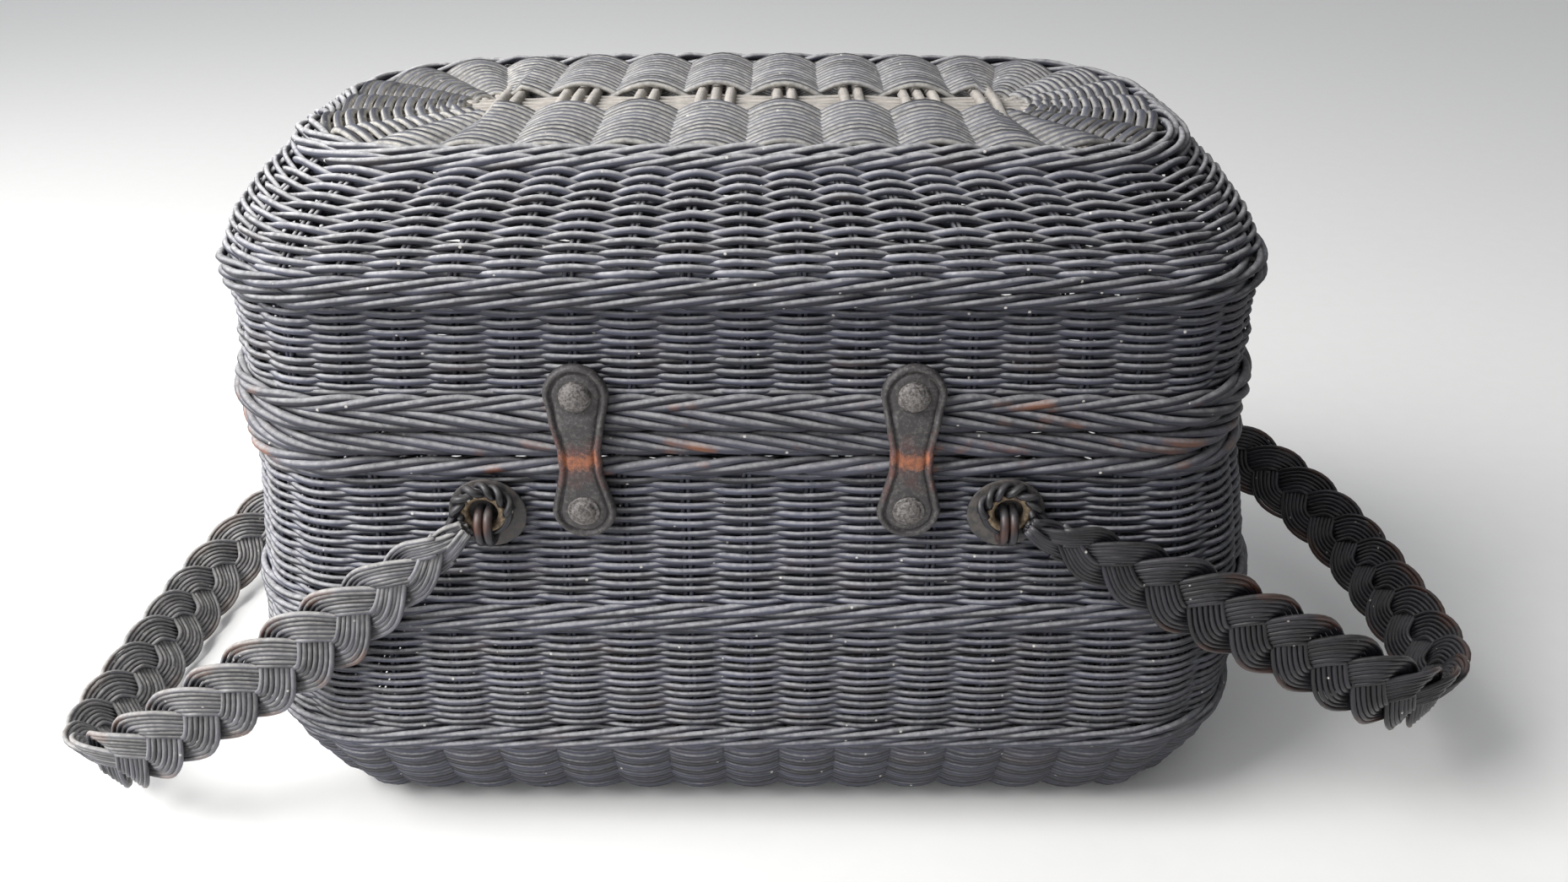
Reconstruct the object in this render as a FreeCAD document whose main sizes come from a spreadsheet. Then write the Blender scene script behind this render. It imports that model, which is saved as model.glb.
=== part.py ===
import FreeCAD, Part
import math
import os
import Sketcher

# Lidded wicker hamper: +X along its length, -Y is the front with the closing straps,
# +Z up, origin on the floor under the middle. All sizes in millimetres.

doc = FreeCAD.newDocument("wicker_hamper")
sheet = doc.addObject("Spreadsheet::Sheet", "Sizes")

SIZES = [
    # plan of the basket at the seam between body and lid
    ("half_length", 208),
    ("half_depth", 110),
    ("corner_radius", 50),
    ("wall_thick", 3.5),
    # body wall, each level as height above the floor and bulge past the plan
    ("toe_height", 5.5),
    ("toe_bulge", -15),
    ("heel_height", 11),
    ("heel_bulge", -8.5),
    ("turn_height", 20),
    ("turn_bulge", -4.5),
    ("hump_height", 30),
    ("hump_bulge", -1.5),
    ("upsett_height", 52),
    ("upsett_bulge", 7),
    ("belly_height", 98),
    ("belly_bulge", 10.5),
    ("middle_height", 125),
    ("middle_bulge", 8),
    ("chest_height", 150),
    ("chest_bulge", 4.5),
    ("collar_height", 173),
    ("collar_bulge", 1.5),
    ("neck_height", 188),
    ("neck_bulge", 0.5),
    # woven bands standing out from the body wall
    ("band_proud", 2),
    ("touch_gap", 0.05),
    ("upsett_band_top", 64),
    ("upsett_top_bulge", 8),
    ("mid_band_low", 118),
    ("mid_low_bulge", 8.7),
    ("mid_band_top", 130),
    ("mid_top_bulge", 7.3),
    # body rim: one waled row and the rod border over it
    ("rim_inner_bulge", -4),
    ("body_wale_bulge", 3.5),
    ("body_border_base", 197),
    ("body_border_bulge", 4),
    ("body_top", 207.6),
    # lid
    ("lid_bottom", 208.2),
    ("lid_border_bulge", 4.5),
    ("lid_wale_base", 217),
    ("lid_wale_bulge", 2),
    ("lid_side_base", 222.5),
    ("lid_side_bulge", -2.5),
    ("lid_side_mid", 240),
    ("lid_mid_bulge", -3.5),
    ("lid_band_base", 258),
    ("lid_base_bulge", -1),
    ("lid_band_bulge", 2.5),
    ("lid_band_inner", -4.5),
    ("slope_base", 270),
    ("slope_base_bulge", 0),
    ("slope_low", 281),
    ("slope_low_bulge", -4.5),
    ("slope_low_corner", 49),
    ("slope_high", 292),
    ("slope_high_bulge", -13),
    ("slope_high_corner", 47),
    ("slope_top", 301.5),
    ("slope_top_bulge", -25),
    ("slope_top_corner", 45),
    ("slope_extra", 1),
    # raised rim round the lid's top
    ("rim_half_length", 177),
    ("rim_half_depth", 79),
    ("rim_corner", 41),
    ("rim_half_width", 5.6),
    ("rim_base", 300),
    ("rim_shoulder", 307),
    ("rim_top", 310),
    ("rim_crown", 2.4),
    # flat panels with their spine and cross sticks
    ("panel_gap", 0.2),
    ("panel_thick", 3),
    ("lid_panel_base", 300),
    ("lid_panel_half_length", 178.3),
    ("lid_panel_half_depth", 80.3),
    ("lid_panel_corner", 41),
    ("stick_diameter", 5.4),
    ("stick_half", 2.7),
    ("stick_reach", 62),
    ("stick_pitch", 6.6),
    ("group_pitch", 29.6),
    ("spine_half_length", 124),
    ("spine_width", 24),
    ("spine_half_width", 12),
    ("spine_thick", 2.2),
    ("spine_half_thick", 1.1),
    ("slot_play", 0.1),
    ("base_half_length", 189.2),
    ("base_half_depth", 91.2),
    ("base_corner", 32),
    ("base_stick_reach", 74),
    ("cord_bulge", -22),
    ("cord_half_width", 2.75),
    ("cord_flat", 1.5),
    ("cord_cheek_low", 1.6),
    ("cord_cheek_high", 3.9),
    # leather straps and their rivets
    ("strap_at", 64),
    ("strap_thick", 2.2),
    ("strap_inner", 115.5),
    ("strap_half_width", 11.5),
    ("strap_waist", 8.5),
    ("waist_height", 197),
    ("waist_half_height", 4),
    ("fold_height", 212),
    ("fold_gap", 1.7),
    ("tab_step", 217.2),
    ("tab_land", 218.2),
    ("tab_turn", 231),
    ("tab_inner", 112.3),
    ("tab_tip_inner", 110.5),
    ("leaf_turn", 188),
    ("leaf_land", 186.6),
    ("leaf_inner", 113.4),
    ("hinge_height", 207.9),
    ("upper_rivet_height", 224.5),
    ("lower_rivet_height", 176),
    ("rivet_head", 12.5),
    ("rivet_dome", 3.4),
    ("rivet_hole", 3.2),
    ("shank_diameter", 3),
    ("burr_diameter", 9),
    ("burr_thick", 1),
    ("lid_burr_outer", 103.5),
    ("body_burr_outer", 107.4),
    ("stud_base", 10),
    ("stud_root", 111.9),
    ("stud_face", 112.8),
    ("stud_tip", 113.6),
    ("stud_post", 3.4),
    ("socket_face", 113.9),
    ("socket_diameter", 11),
    ("socket_well", 4.2),
    ("socket_depth", 1),
    # handles and what carries them
    ("pivot_at", 103),
    ("pivot_height", 177),
    ("pivot_plane", 119.8),
    ("disc_diameter", 31),
    ("disc_inner", 113.7),
    ("disc_thick", 2),
    ("staple_width", 7),
    ("staple_half_width", 3.5),
    ("staple_thick", 3.2),
    ("staple_thick_half", 1.6),
    ("staple_drop", 14.2),
    ("staple_drop_half", 4),
    ("staple_front", 126.8),
    ("staple_root", 104),
    ("staple_hole", 0.2),
    ("back_disc_diameter", 24),
    ("back_disc_outer", 106.6),
    ("back_disc_thick", 1.5),
    ("ring_radius", 7.5),
    ("ring_wire", 1.9),
    ("wrap_radius", 8.2),
    ("wrap_thick", 3.6),
    ("wrap_neck", 10),
    ("neck_inner", 116.4),
    ("neck_outer", 127.4),
    ("neck_depth", 11),
    ("neck_half_height", 5.5),
    ("neck_height_size", 11),
    ("arm_start", 16),
    ("arm_offset", 125),
    ("braid_half_width", 15),
    ("braid_half_thick", 3.5),
    ("braid_end_half", 6.5),
    ("braid_taper", 62),
    ("left_reach", 272),
    ("left_front_corner", 78),
    ("left_back_corner", 88),
    ("left_fall", 36),
    ("right_reach", 259),
    ("right_front_corner", 85),
    ("right_back_corner", 112),
    ("right_fall", 28),
]

for row, (alias, number) in enumerate(SIZES, start=1):
    sheet.set("A%d" % row, alias.replace("_", " "))
    sheet.set("B%d" % row, str(number))
    sheet.setAlias("B%d" % row, alias)
doc.recompute()

WORLD = FreeCAD.Vector(0, 0, 0)
ALONG_X = FreeCAD.Vector(1, 0, 0)
ALONG_Y = FreeCAD.Vector(0, 1, 0)
ALONG_Z = FreeCAD.Vector(0, 0, 1)
nodes = []


def amount(text):
    """Value of a sum of sheet names such as "half_length + belly_bulge"."""
    total = 0.0
    sign = 1
    for word in text.split():
        if word == "+":
            sign = 1
        elif word == "-":
            sign = -1
        else:
            total += sign * (float(word) if word[0].isdigit() else sheet.get(word))
            sign = 1
    return total


def bound(text):
    """The same sum written as an expression on the sheet, with a length unit."""
    words = [w if w in "+-" or w[0].isdigit() else "Sizes." + w for w in text.split()]
    return "(" + " ".join(words) + ") * 1 mm"


def keep(thing, label):
    thing.Label = label
    nodes.append(thing)
    return thing


def plane(body, role):
    for feature in body.Origin.OriginFeatures:
        if feature.Role == role:
            return feature
    raise ValueError(role)


def sketchOn(body, name, role, lift=None):
    sketch = body.newObject("Sketcher::SketchObject", name)
    sketch.AttachmentSupport = [(plane(body, role), "")]
    sketch.MapMode = "FlatFace"
    if lift:
        sketch.AttachmentOffset = FreeCAD.Placement(
            FreeCAD.Vector(0, 0, amount(lift)), FreeCAD.Rotation())
        sketch.setExpression("AttachmentOffset.Base.z", bound(lift))
    return sketch


def dimension(sketch, kind, first, second, text):
    """A distance in the sketch bound to the sheet; each end is (geometry, point)."""
    index = sketch.addConstraint(
        Sketcher.Constraint(kind, first[0], first[1], second[0], second[1], amount(text)))
    sketch.setExpression("Constraints[%d]" % index, bound(text))


def radius(sketch, kind, geometry, text):
    index = sketch.addConstraint(Sketcher.Constraint(kind, geometry, amount(text)))
    sketch.setExpression("Constraints[%d]" % index, bound(text))


def arc(x, y, size, start):
    circle = Part.Circle(FreeCAD.Vector(x, y, 0), ALONG_Z, size)
    return Part.ArcOfCircle(circle, math.radians(start), math.radians(start + 90))


def line(x1, y1, x2, y2):
    return Part.LineSegment(FreeCAD.Vector(x1, y1, 0), FreeCAD.Vector(x2, y2, 0))


def roundedRectangle(sketch, half_x, half_y, corner):
    a, b, r = amount(half_x), amount(half_y), amount(corner)
    shapes = [line(r - a, -b, a - r, -b), arc(a - r, r - b, r, 270), line(a, r - b, a, b - r),
              arc(a - r, b - r, r, 0), line(a - r, b, r - a, b), arc(r - a, b - r, r, 90),
              line(-a, b - r, -a, r - b), arc(r - a, r - b, r, 180)]
    first = sketch.addGeometry(shapes, False)[0]
    count = len(shapes)
    for step in range(count):
        following = first + (step + 1) % count
        sketch.addConstraint(Sketcher.Constraint("Tangent", first + step, 2, following, 1))
    for step, kind in ((0, "Horizontal"), (2, "Vertical"), (4, "Horizontal"), (6, "Vertical")):
        sketch.addConstraint(Sketcher.Constraint(kind, first + step))
    for step in (3, 5, 7):
        sketch.addConstraint(Sketcher.Constraint("Equal", first + 1, first + step))
    radius(sketch, "Radius", first + 1, corner)
    dimension(sketch, "DistanceX", (-1, 1), (first + 2, 1), half_x)
    dimension(sketch, "DistanceX", (first + 6, 1), (-1, 1), half_x)
    dimension(sketch, "DistanceY", (-1, 1), (first + 4, 1), half_y)
    dimension(sketch, "DistanceY", (first, 1), (-1, 1), half_y)


def polygon(sketch, corners):
    """A closed outline; every corner is a pair of sheet sums."""
    points = [(amount(x), amount(y)) for x, y in corners]
    count = len(points)
    sides = [line(*points[k], *points[(k + 1) % count]) for k in range(count)]
    first = sketch.addGeometry(sides, False)[0]
    for k in range(count):
        following = first + (k + 1) % count
        sketch.addConstraint(Sketcher.Constraint("Coincident", first + k, 2, following, 1))
    for k, (x, y) in enumerate(corners):
        dimension(sketch, "DistanceX", (-1, 1), (first + k, 1), x)
        dimension(sketch, "DistanceY", (-1, 1), (first + k, 1), y)


def newBody(name):
    return doc.addObject("PartDesign::Body", name)


def sweep(body, profile, path):
    pipe = body.newObject("PartDesign::AdditivePipe", "Sweep")
    pipe.Profile = profile
    pipe.Spine = (path, [])
    profile.Visibility = False
    path.Visibility = False
    doc.recompute()
    return pipe


def ringPart(label, corners, half_x="half_length", half_y="half_depth", corner="corner_radius"):
    """A closed ring: the section given by its corners carried round the basket's plan."""
    body = newBody(label)
    path = sketchOn(body, "Plan", "XY_Plane")
    roundedRectangle(path, half_x, half_y, corner)
    section = sketchOn(body, "Section", "XZ_Plane")
    polygon(section, corners)
    sweep(body, section, path)
    return keep(body, label)


def wallSection(levels):
    """Outer line up through the levels and the same line back down, one wall inside."""
    outer = [("half_length + %s_bulge" % level, level + "_height") for level in levels]
    inner = [(x + " - wall_thick", height) for x, height in reversed(outer)]
    return outer + inner


def pocket(body, sketch, name):
    """A cut both ways through everything; it has to remove some of the part."""
    before = body.Shape.Volume
    cut = body.newObject("PartDesign::Pocket", name)
    cut.Profile = sketch
    cut.Type = "ThroughAll"
    cut.Midplane = True
    sketch.Visibility = False
    doc.recompute()
    if not cut.Shape.Volume < before:
        raise ValueError(name + " cuts nothing")
    return cut



def holesBothSides(body, name, spots):
    """Round holes through front and back walls, left and right of the middle."""
    sketch = sketchOn(body, name + "Plan", "XZ_Plane")
    for across, height, size in spots:
        for side in (1, -1):
            middle = FreeCAD.Vector(side * amount(across), amount(height), 0)
            index = sketch.addGeometry(Part.Circle(middle, ALONG_Z, amount(size) / 2), False)
            ends = ((-1, 1), (index, 3)) if side > 0 else ((index, 3), (-1, 1))
            radius(sketch, "Diameter", index, size)
            dimension(sketch, "DistanceX", ends[0], ends[1], across)
            dimension(sketch, "DistanceY", (-1, 1), (index, 3), height)
    doc.recompute()
    pocket(body, sketch, name)


def panelPart(label, half_x, half_y, corner, base, thick):
    """A flat panel with the rounded plan, lying on the given height."""
    body = newBody(label)
    outline = sketchOn(body, "Outline", "XY_Plane", base)
    roundedRectangle(outline, half_x, half_y, corner)
    slab = body.newObject("PartDesign::Pad", "Slab")
    slab.Profile = outline
    slab.setExpression("Length", bound(thick))
    outline.Visibility = False
    doc.recompute()
    return keep(body, label)


def primitive(kind, name, sizes, spot=("0", "0", "0"), axis=ALONG_Z, turn=0):
    """A Part primitive with its sizes and its position bound to the sheet."""
    thing = doc.addObject("Part::" + kind, name)
    place = FreeCAD.Vector(*[amount(text) for text in spot])
    thing.Placement = FreeCAD.Placement(place, FreeCAD.Rotation(axis, turn))
    for prop, text in sizes.items():
        thing.setExpression(prop, bound(text))
    for letter, text in zip("xyz", spot):
        thing.setExpression("Placement.Base." + letter, bound(text))
    return thing


def rod(name, diameter, length, spot, axis=ALONG_Z, turn=0):
    """A round bar; turned about X by 90 it points to the front, by -90 to the back."""
    bar = primitive("Cylinder", name, {"Height": length}, spot, axis, turn)
    bar.setExpression("Radius", bound(diameter) + " / 2")
    return bar


def joined(kind, name, parts):
    group = doc.addObject("Part::" + kind, name)
    if kind == "Compound":
        group.Links = parts
    else:
        group.Shapes = parts
    return group


def difference(name, base, tool):
    cut = doc.addObject("Part::Cut", name)
    cut.Base = base
    cut.Tool = tool
    return cut


def mirrored(name, source, normal):
    copy = doc.addObject("Part::Mirroring", name)
    copy.Source = source
    copy.Normal = normal
    return copy


def pairOf(label, source):
    """The same piece on the right and on the left, as one group."""
    other = mirrored(label + "_other", source, ALONG_X)
    return joined("Compound", label, [source, other])


def fourOf(label, source):
    """The same piece right and left, front and back, as one group."""
    front = pairOf(label + "_front", source)
    return joined("Compound", label, [front, mirrored(label + "_back", front, ALONG_Y)])


# ---- body of the basket ----
bodyWall = ringPart("body_wall", wallSection(
    ["toe", "heel", "turn", "hump", "upsett", "belly", "middle", "chest", "collar", "neck"]))
holesBothSides(bodyWall, "RivetHoles", [("strap_at", "lower_rivet_height", "rivet_hole")])
staplePlan = sketchOn(bodyWall, "StaplePlan", "XZ_Plane")


def stapleSlots(sketch):
    """Slots for both legs of the cane staples, right and left."""
    for side in ("", "- "):
        left, right = ("- staple_half_width - staple_hole", "+ staple_half_width + staple_hole")
        if side:
            left, right = (right.replace("+", "-"), left.replace("-", "+"))
        for height in ("pivot_height", "pivot_height - staple_drop"):
            low = height + " - staple_thick_half - staple_hole"
            high = height + " + staple_thick_half + staple_hole"
            polygon(sketch, [(side + "pivot_at " + left, low), (side + "pivot_at " + right, low),
                             (side + "pivot_at " + right, high), (side + "pivot_at " + left, high)])


stapleSlots(staplePlan)
doc.recompute()
pocket(bodyWall, staplePlan, "StapleSlots")

panelPart("base_panel", "base_half_length", "base_half_depth", "base_corner",
          "toe_height", "panel_thick")
ringPart("upsett_band", [
    ("half_length + upsett_bulge + touch_gap", "upsett_height"),
    ("half_length + upsett_bulge + band_proud", "upsett_height + 1"),
    ("half_length + upsett_top_bulge + band_proud", "upsett_band_top - 1"),
    ("half_length + upsett_top_bulge + touch_gap", "upsett_band_top")])
ringPart("mid_band", [
    ("half_length + mid_low_bulge + touch_gap", "mid_band_low"),
    ("half_length + mid_low_bulge + band_proud", "mid_band_low + 1"),
    ("half_length + mid_top_bulge + band_proud", "mid_band_top - 1"),
    ("half_length + mid_top_bulge + touch_gap", "mid_band_top"),
    ("half_length + middle_bulge + touch_gap", "middle_height")])
ringPart("body_rim_wale", [
    ("half_length + rim_inner_bulge", "neck_height"),
    ("half_length + body_wale_bulge - 1", "neck_height"),
    ("half_length + body_wale_bulge", "neck_height + 2"),
    ("half_length + body_wale_bulge", "body_border_base - 1"),
    ("half_length + body_wale_bulge - 1", "body_border_base"),
    ("half_length + rim_inner_bulge", "body_border_base")])
ringPart("body_border", [
    ("half_length + rim_inner_bulge", "body_border_base"),
    ("half_length + body_border_bulge - 1", "body_border_base"),
    ("half_length + body_border_bulge", "body_border_base + 2"),
    ("half_length + body_border_bulge", "body_top - 2"),
    ("half_length + body_border_bulge - 2", "body_top"),
    ("half_length + rim_inner_bulge", "body_top")])

cordMiddle = "half_length + cord_bulge"
ringPart("foot_cord", [
    (cordMiddle + " - cord_flat", "0"),
    (cordMiddle + " + cord_flat", "0"),
    (cordMiddle + " + cord_half_width", "cord_cheek_low"),
    (cordMiddle + " + cord_half_width", "cord_cheek_high"),
    (cordMiddle + " + cord_flat", "toe_height"),
    (cordMiddle + " - cord_flat", "toe_height"),
    (cordMiddle + " - cord_half_width", "cord_cheek_high"),
    (cordMiddle + " - cord_half_width", "cord_cheek_low")],
    cordMiddle, "half_depth + cord_bulge", "corner_radius + cord_bulge")

# ---- lid ----
ringPart("lid_border", [
    ("half_length + rim_inner_bulge", "lid_bottom"),
    ("half_length + lid_border_bulge - 2", "lid_bottom"),
    ("half_length + lid_border_bulge", "lid_bottom + 2"),
    ("half_length + lid_border_bulge", "lid_wale_base - 2"),
    ("half_length + lid_border_bulge - 1", "lid_wale_base"),
    ("half_length + rim_inner_bulge", "lid_wale_base")])
ringPart("lid_lower_wale", [
    ("half_length + rim_inner_bulge - 2", "lid_wale_base"),
    ("half_length + lid_wale_bulge - 1", "lid_wale_base"),
    ("half_length + lid_wale_bulge", "lid_wale_base + 2"),
    ("half_length + lid_wale_bulge", "lid_side_base - 1"),
    ("half_length + lid_wale_bulge - 2", "lid_side_base"),
    ("half_length + rim_inner_bulge - 2", "lid_side_base")])
lidSide = ringPart("lid_side", [
    ("half_length + lid_side_bulge", "lid_side_base"),
    ("half_length + lid_mid_bulge", "lid_side_mid"),
    ("half_length + lid_base_bulge", "lid_band_base"),
    ("half_length + lid_base_bulge - wall_thick", "lid_band_base"),
    ("half_length + lid_mid_bulge - wall_thick", "lid_side_mid"),
    ("half_length + lid_side_bulge - wall_thick", "lid_side_base")])
holesBothSides(lidSide, "RivetHoles", [("strap_at", "upper_rivet_height", "rivet_hole")])
ringPart("lid_band", [
    ("half_length + lid_band_inner", "lid_band_base"),
    ("half_length + lid_band_bulge - 2", "lid_band_base"),
    ("half_length + lid_band_bulge", "lid_band_base + 2"),
    ("half_length + lid_band_bulge", "slope_base - 2"),
    ("half_length + lid_band_bulge - 2", "slope_base"),
    ("half_length + lid_band_inner", "slope_base")])

slope = newBody("lid_slope")
slopeLevels = ["slope_base", "slope_low", "slope_high", "slope_top"]


def slopeSketches(prefix, inset):
    sketches = []
    for level in slopeLevels:
        sketch = sketchOn(slope, prefix + level, "XY_Plane", level)
        corner = "corner_radius" if level == "slope_base" else level + "_corner"
        roundedRectangle(sketch, "half_length + %s_bulge%s" % (level, inset),
                         "half_depth + %s_bulge%s" % (level, inset), corner + inset)
        sketch.Visibility = False
        sketches.append(sketch)
    return sketches


for kind, inset in (("AdditiveLoft", ""), ("SubtractiveLoft", " - wall_thick - slope_extra")):
    sections = slopeSketches(kind, inset)
    loft = slope.newObject("PartDesign::" + kind, kind)
    loft.Profile = sections[0]
    loft.Sections = sections[1:]
    loft.Ruled = True
    doc.recompute()
keep(slope, "lid_slope")

ringPart("lid_rim", [
    ("rim_half_length - rim_half_width", "rim_base + panel_thick + panel_gap"),
    ("rim_half_length + rim_crown", "rim_base + panel_thick + panel_gap"),
    ("rim_half_length + rim_half_width", "slope_top + panel_gap"),
    ("rim_half_length + rim_half_width", "rim_shoulder"),
    ("rim_half_length + rim_crown", "rim_top"),
    ("rim_half_length - rim_crown", "rim_top"),
    ("rim_half_length - rim_half_width", "rim_shoulder")],
    "rim_half_length", "rim_half_depth", "rim_corner")
panelPart("lid_panel", "lid_panel_half_length", "lid_panel_half_depth", "lid_panel_corner",
          "lid_panel_base", "panel_thick")

# ---- spine and cross sticks of the two panels ----
GROUPS = (2, 3, 2, 3, 2, 2, 3, 2)


def crossSticks(name, reach, middle_height):
    """Groups of two or three short sticks across the panel, spaced along its length."""
    sticks = []
    for place, count in enumerate(GROUPS):
        for stick in range(count):
            shift = place - (len(GROUPS) - 1) / 2
            step = stick - (count - 1) / 2
            bar = rod("%s_%d_%d" % (name, place, stick), "stick_diameter", reach + " + " + reach,
                      ("0", "- " + reach, middle_height), ALONG_X, -90)
            bar.setExpression("Placement.Base.x", "(%s * Sizes.group_pitch + %s * "
                              "Sizes.stick_pitch) * 1 mm" % (shift, step))
            sticks.append(bar)
    return joined("Compound", name + "_all", sticks)


def spineAndSticks(prefix, reach, panel_top):
    """Short sticks split in the middle, with the flat spine threaded through the slits."""
    radius_text = "stick_half"
    centre = panel_top + " + touch_gap + " + radius_text
    sticks = crossSticks(prefix + "_stick", reach, centre)
    low = centre + " - spine_half_thick"
    spine = primitive("Box", prefix + "_spine",
                      {"Length": "spine_half_length + spine_half_length", "Width": "spine_width",
                       "Height": "spine_thick"},
                      ("- spine_half_length", "- spine_half_width", low))
    slot = primitive("Box", prefix + "_slot",
                     {"Length": "spine_half_length + spine_half_length",
                      "Width": "spine_width + slot_play + slot_play",
                      "Height": "spine_thick + slot_play + slot_play"},
                     ("- spine_half_length", "- spine_half_width - slot_play",
                      low + " - slot_play"))
    keep(spine, prefix + "_spine")
    keep(difference(prefix + "_cross_sticks", sticks, slot), prefix + "_cross_sticks")


spineAndSticks("lid", "stick_reach", "lid_panel_base + panel_thick")
spineAndSticks("base", "base_stick_reach", "toe_height + panel_thick")

# ---- leather straps ----


def strapPart(name, profile, low, high, lobe, upward):
    """A bent strip seen from the side, trimmed to a lobe at one end and a waist at the other."""
    body = newBody(name)
    side = sketchOn(body, "SideView", "YZ_Plane")
    polygon(side, profile)
    strip = body.newObject("PartDesign::Pad", "Strip")
    strip.Profile = side
    strip.Midplane = True
    strip.setExpression("Length", bound("strap_half_width + strap_half_width"))
    side.Visibility = False
    doc.recompute()

    trim = sketchOn(body, "FrontView", "XZ_Plane")
    polygon(trim, [("- strap_half_width - 5", low + " - 5"), ("strap_half_width + 5", low + " - 5"),
                   ("strap_half_width + 5", high + " + 5"), ("- strap_half_width - 5", high + " + 5")])
    cut_end = low if upward else high
    waist_end = cut_end if upward else "waist_height + waist_half_height"
    right = [("strap_waist", cut_end)]
    if not upward:
        right += [("strap_waist", waist_end), ("strap_waist", "waist_height - waist_half_height")]
    right.append(("strap_half_width", lobe))
    left = [("- " + x, z) for x, z in reversed(right)]
    chain = right + left
    first = trim.GeometryCount
    values = [(amount(x), amount(z)) for x, z in chain]
    turn = len(right) - 1
    geometry = []
    for k in range(len(chain)):
        start, end = values[k], values[(k + 1) % len(chain)]
        if k == turn:
            rim = Part.Circle(FreeCAD.Vector(0, start[1], 0), ALONG_Z, start[0])
            span = (0, math.pi) if upward else (math.pi, 2 * math.pi)
            geometry.append(Part.ArcOfCircle(rim, *span))
        else:
            geometry.append(line(*start, *end))
    trim.addGeometry(geometry, False)
    for k in range(len(chain)):
        following = (k + 1) % len(chain)
        leave, arrive = 2, 1
        if not upward and k == turn:
            leave = 1
        if not upward and following == turn:
            arrive = 2
        trim.addConstraint(Sketcher.Constraint("Coincident", first + k, leave,
                                               first + following, arrive))
    for k, (x, z) in enumerate(chain):
        if k == turn:
            continue
        dimension(trim, "DistanceX", (-1, 1), (first + k, 1), x)
        dimension(trim, "DistanceY", (-1, 1), (first + k, 1), z)
    dimension(trim, "DistanceY", (-1, 1), (first + turn, 3), lobe)
    dimension(trim, "DistanceX", (-1, 1), (first + turn, 1 if upward else 2), right[-1][0])
    circle_index = trim.addGeometry(
        Part.Circle(FreeCAD.Vector(0, amount(lobe), 0), ALONG_Z, amount("rivet_hole") / 2), False)
    radius(trim, "Diameter", circle_index, "rivet_hole")
    trim.addConstraint(Sketcher.Constraint("PointOnObject", circle_index, 3, -2))
    dimension(trim, "DistanceY", (-1, 1), (circle_index, 3), lobe)
    doc.recompute()
    pocket(body, trim, "Outline")
    body.setExpression("Placement.Base.x", bound("strap_at"))
    return body


def facing(profile, front):
    """Side view for the front (towards -Y) or for the back of the basket."""
    return [(("- " + x.replace("+", "-")) if front else x, z) for x, z in profile]


def tabProfile(low):
    inner = [("strap_inner", low), ("strap_inner", "tab_step"), ("tab_inner", "tab_land"),
             ("tab_inner", "tab_turn"), ("tab_tip_inner", "upper_rivet_height + strap_half_width")]
    return inner + [(x + " + strap_thick", z) for x, z in reversed(inner)]


lobeTop = "upper_rivet_height + strap_half_width"
lobeLow = "lower_rivet_height - strap_half_width"
tabLow = "fold_height + fold_gap"
leafLow = "hinge_height + fold_gap"
leafTop = "hinge_height - fold_gap"
flapTop = "fold_height - fold_gap"
flapProfile = [("strap_inner", lobeLow), ("strap_inner", flapTop),
               ("strap_inner + strap_thick", flapTop), ("strap_inner + strap_thick", lobeLow)]
leafInner = [("leaf_inner", lobeLow), ("leaf_inner", "leaf_land"),
             ("strap_inner", "leaf_turn"), ("strap_inner", leafTop)]
leafProfile = leafInner + [(x + " + strap_thick", z) for x, z in reversed(leafInner)]

tab = strapPart("tab_right", facing(tabProfile(tabLow), True), tabLow, lobeTop,
                "upper_rivet_height", True)
flap = strapPart("flap_right", facing(flapProfile, True), lobeLow, flapTop,
                 "lower_rivet_height", False)
lidLeaf = strapPart("lid_leaf_right", facing(tabProfile(leafLow), False), leafLow, lobeTop,
                    "upper_rivet_height", True)
bodyLeaf = strapPart("body_leaf_right", facing(leafProfile, False), lobeLow, leafTop,
                     "lower_rivet_height", False)
keep(pairOf("strap_tabs", tab), "strap_tabs")
keep(flap, "right_strap_flap")
keep(mirrored("left_strap_flap", flap, ALONG_X), "left_strap_flap")
keep(pairOf("hinge_leaves_lid", lidLeaf), "hinge_leaves_lid")
keep(pairOf("hinge_leaves_body", bodyLeaf), "hinge_leaves_body")


def dome(name, face, height, front):
    """A domed rivet head whose flat side lies on the given face."""
    cap = doc.addObject("Part::Sphere", name)
    turn = 90 if front else -90
    cap.Placement = FreeCAD.Placement(WORLD, FreeCAD.Rotation(ALONG_X, turn))
    ball = "((Sizes.rivet_head / 2) ^ 2 + Sizes.rivet_dome ^ 2) / (2 * Sizes.rivet_dome)"
    cap.setExpression("Radius", "(" + ball + ") * 1 mm")
    cap.setExpression("Angle1", "asin(1 - Sizes.rivet_dome / (" + ball + "))")
    back = "(" + ball + " - Sizes.rivet_dome) * 1 mm"
    middle = bound(face) + " - " + back
    cap.setExpression("Placement.Base.x", bound("strap_at"))
    cap.setExpression("Placement.Base.y", ("-" if front else "") + "(" + middle + ")")
    cap.setExpression("Placement.Base.z", bound(height))
    return cap


def pin(name, diameter, inner, outer, height, front):
    """A round piece along Y between two distances from the middle of the basket."""
    bar = rod(name, diameter, outer, ("strap_at", inner, height), ALONG_X, 90 if front else -90)
    bar.setExpression("Height", bound(outer) + " - " + bound(inner))
    bar.setExpression("Placement.Base.y", ("-" if front else "") + bound(inner))
    return bar


def rivet(name, face, height, burr, front):
    head = dome(name + "_dome", face, height, front)
    shank = pin(name + "_shank", "shank_diameter", burr + " - burr_thick", face, height, front)
    washer = pin(name + "_burr", "burr_diameter", burr + " - burr_thick", burr, height, front)
    return joined("MultiFuse", name, [head, shank, washer])


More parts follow.
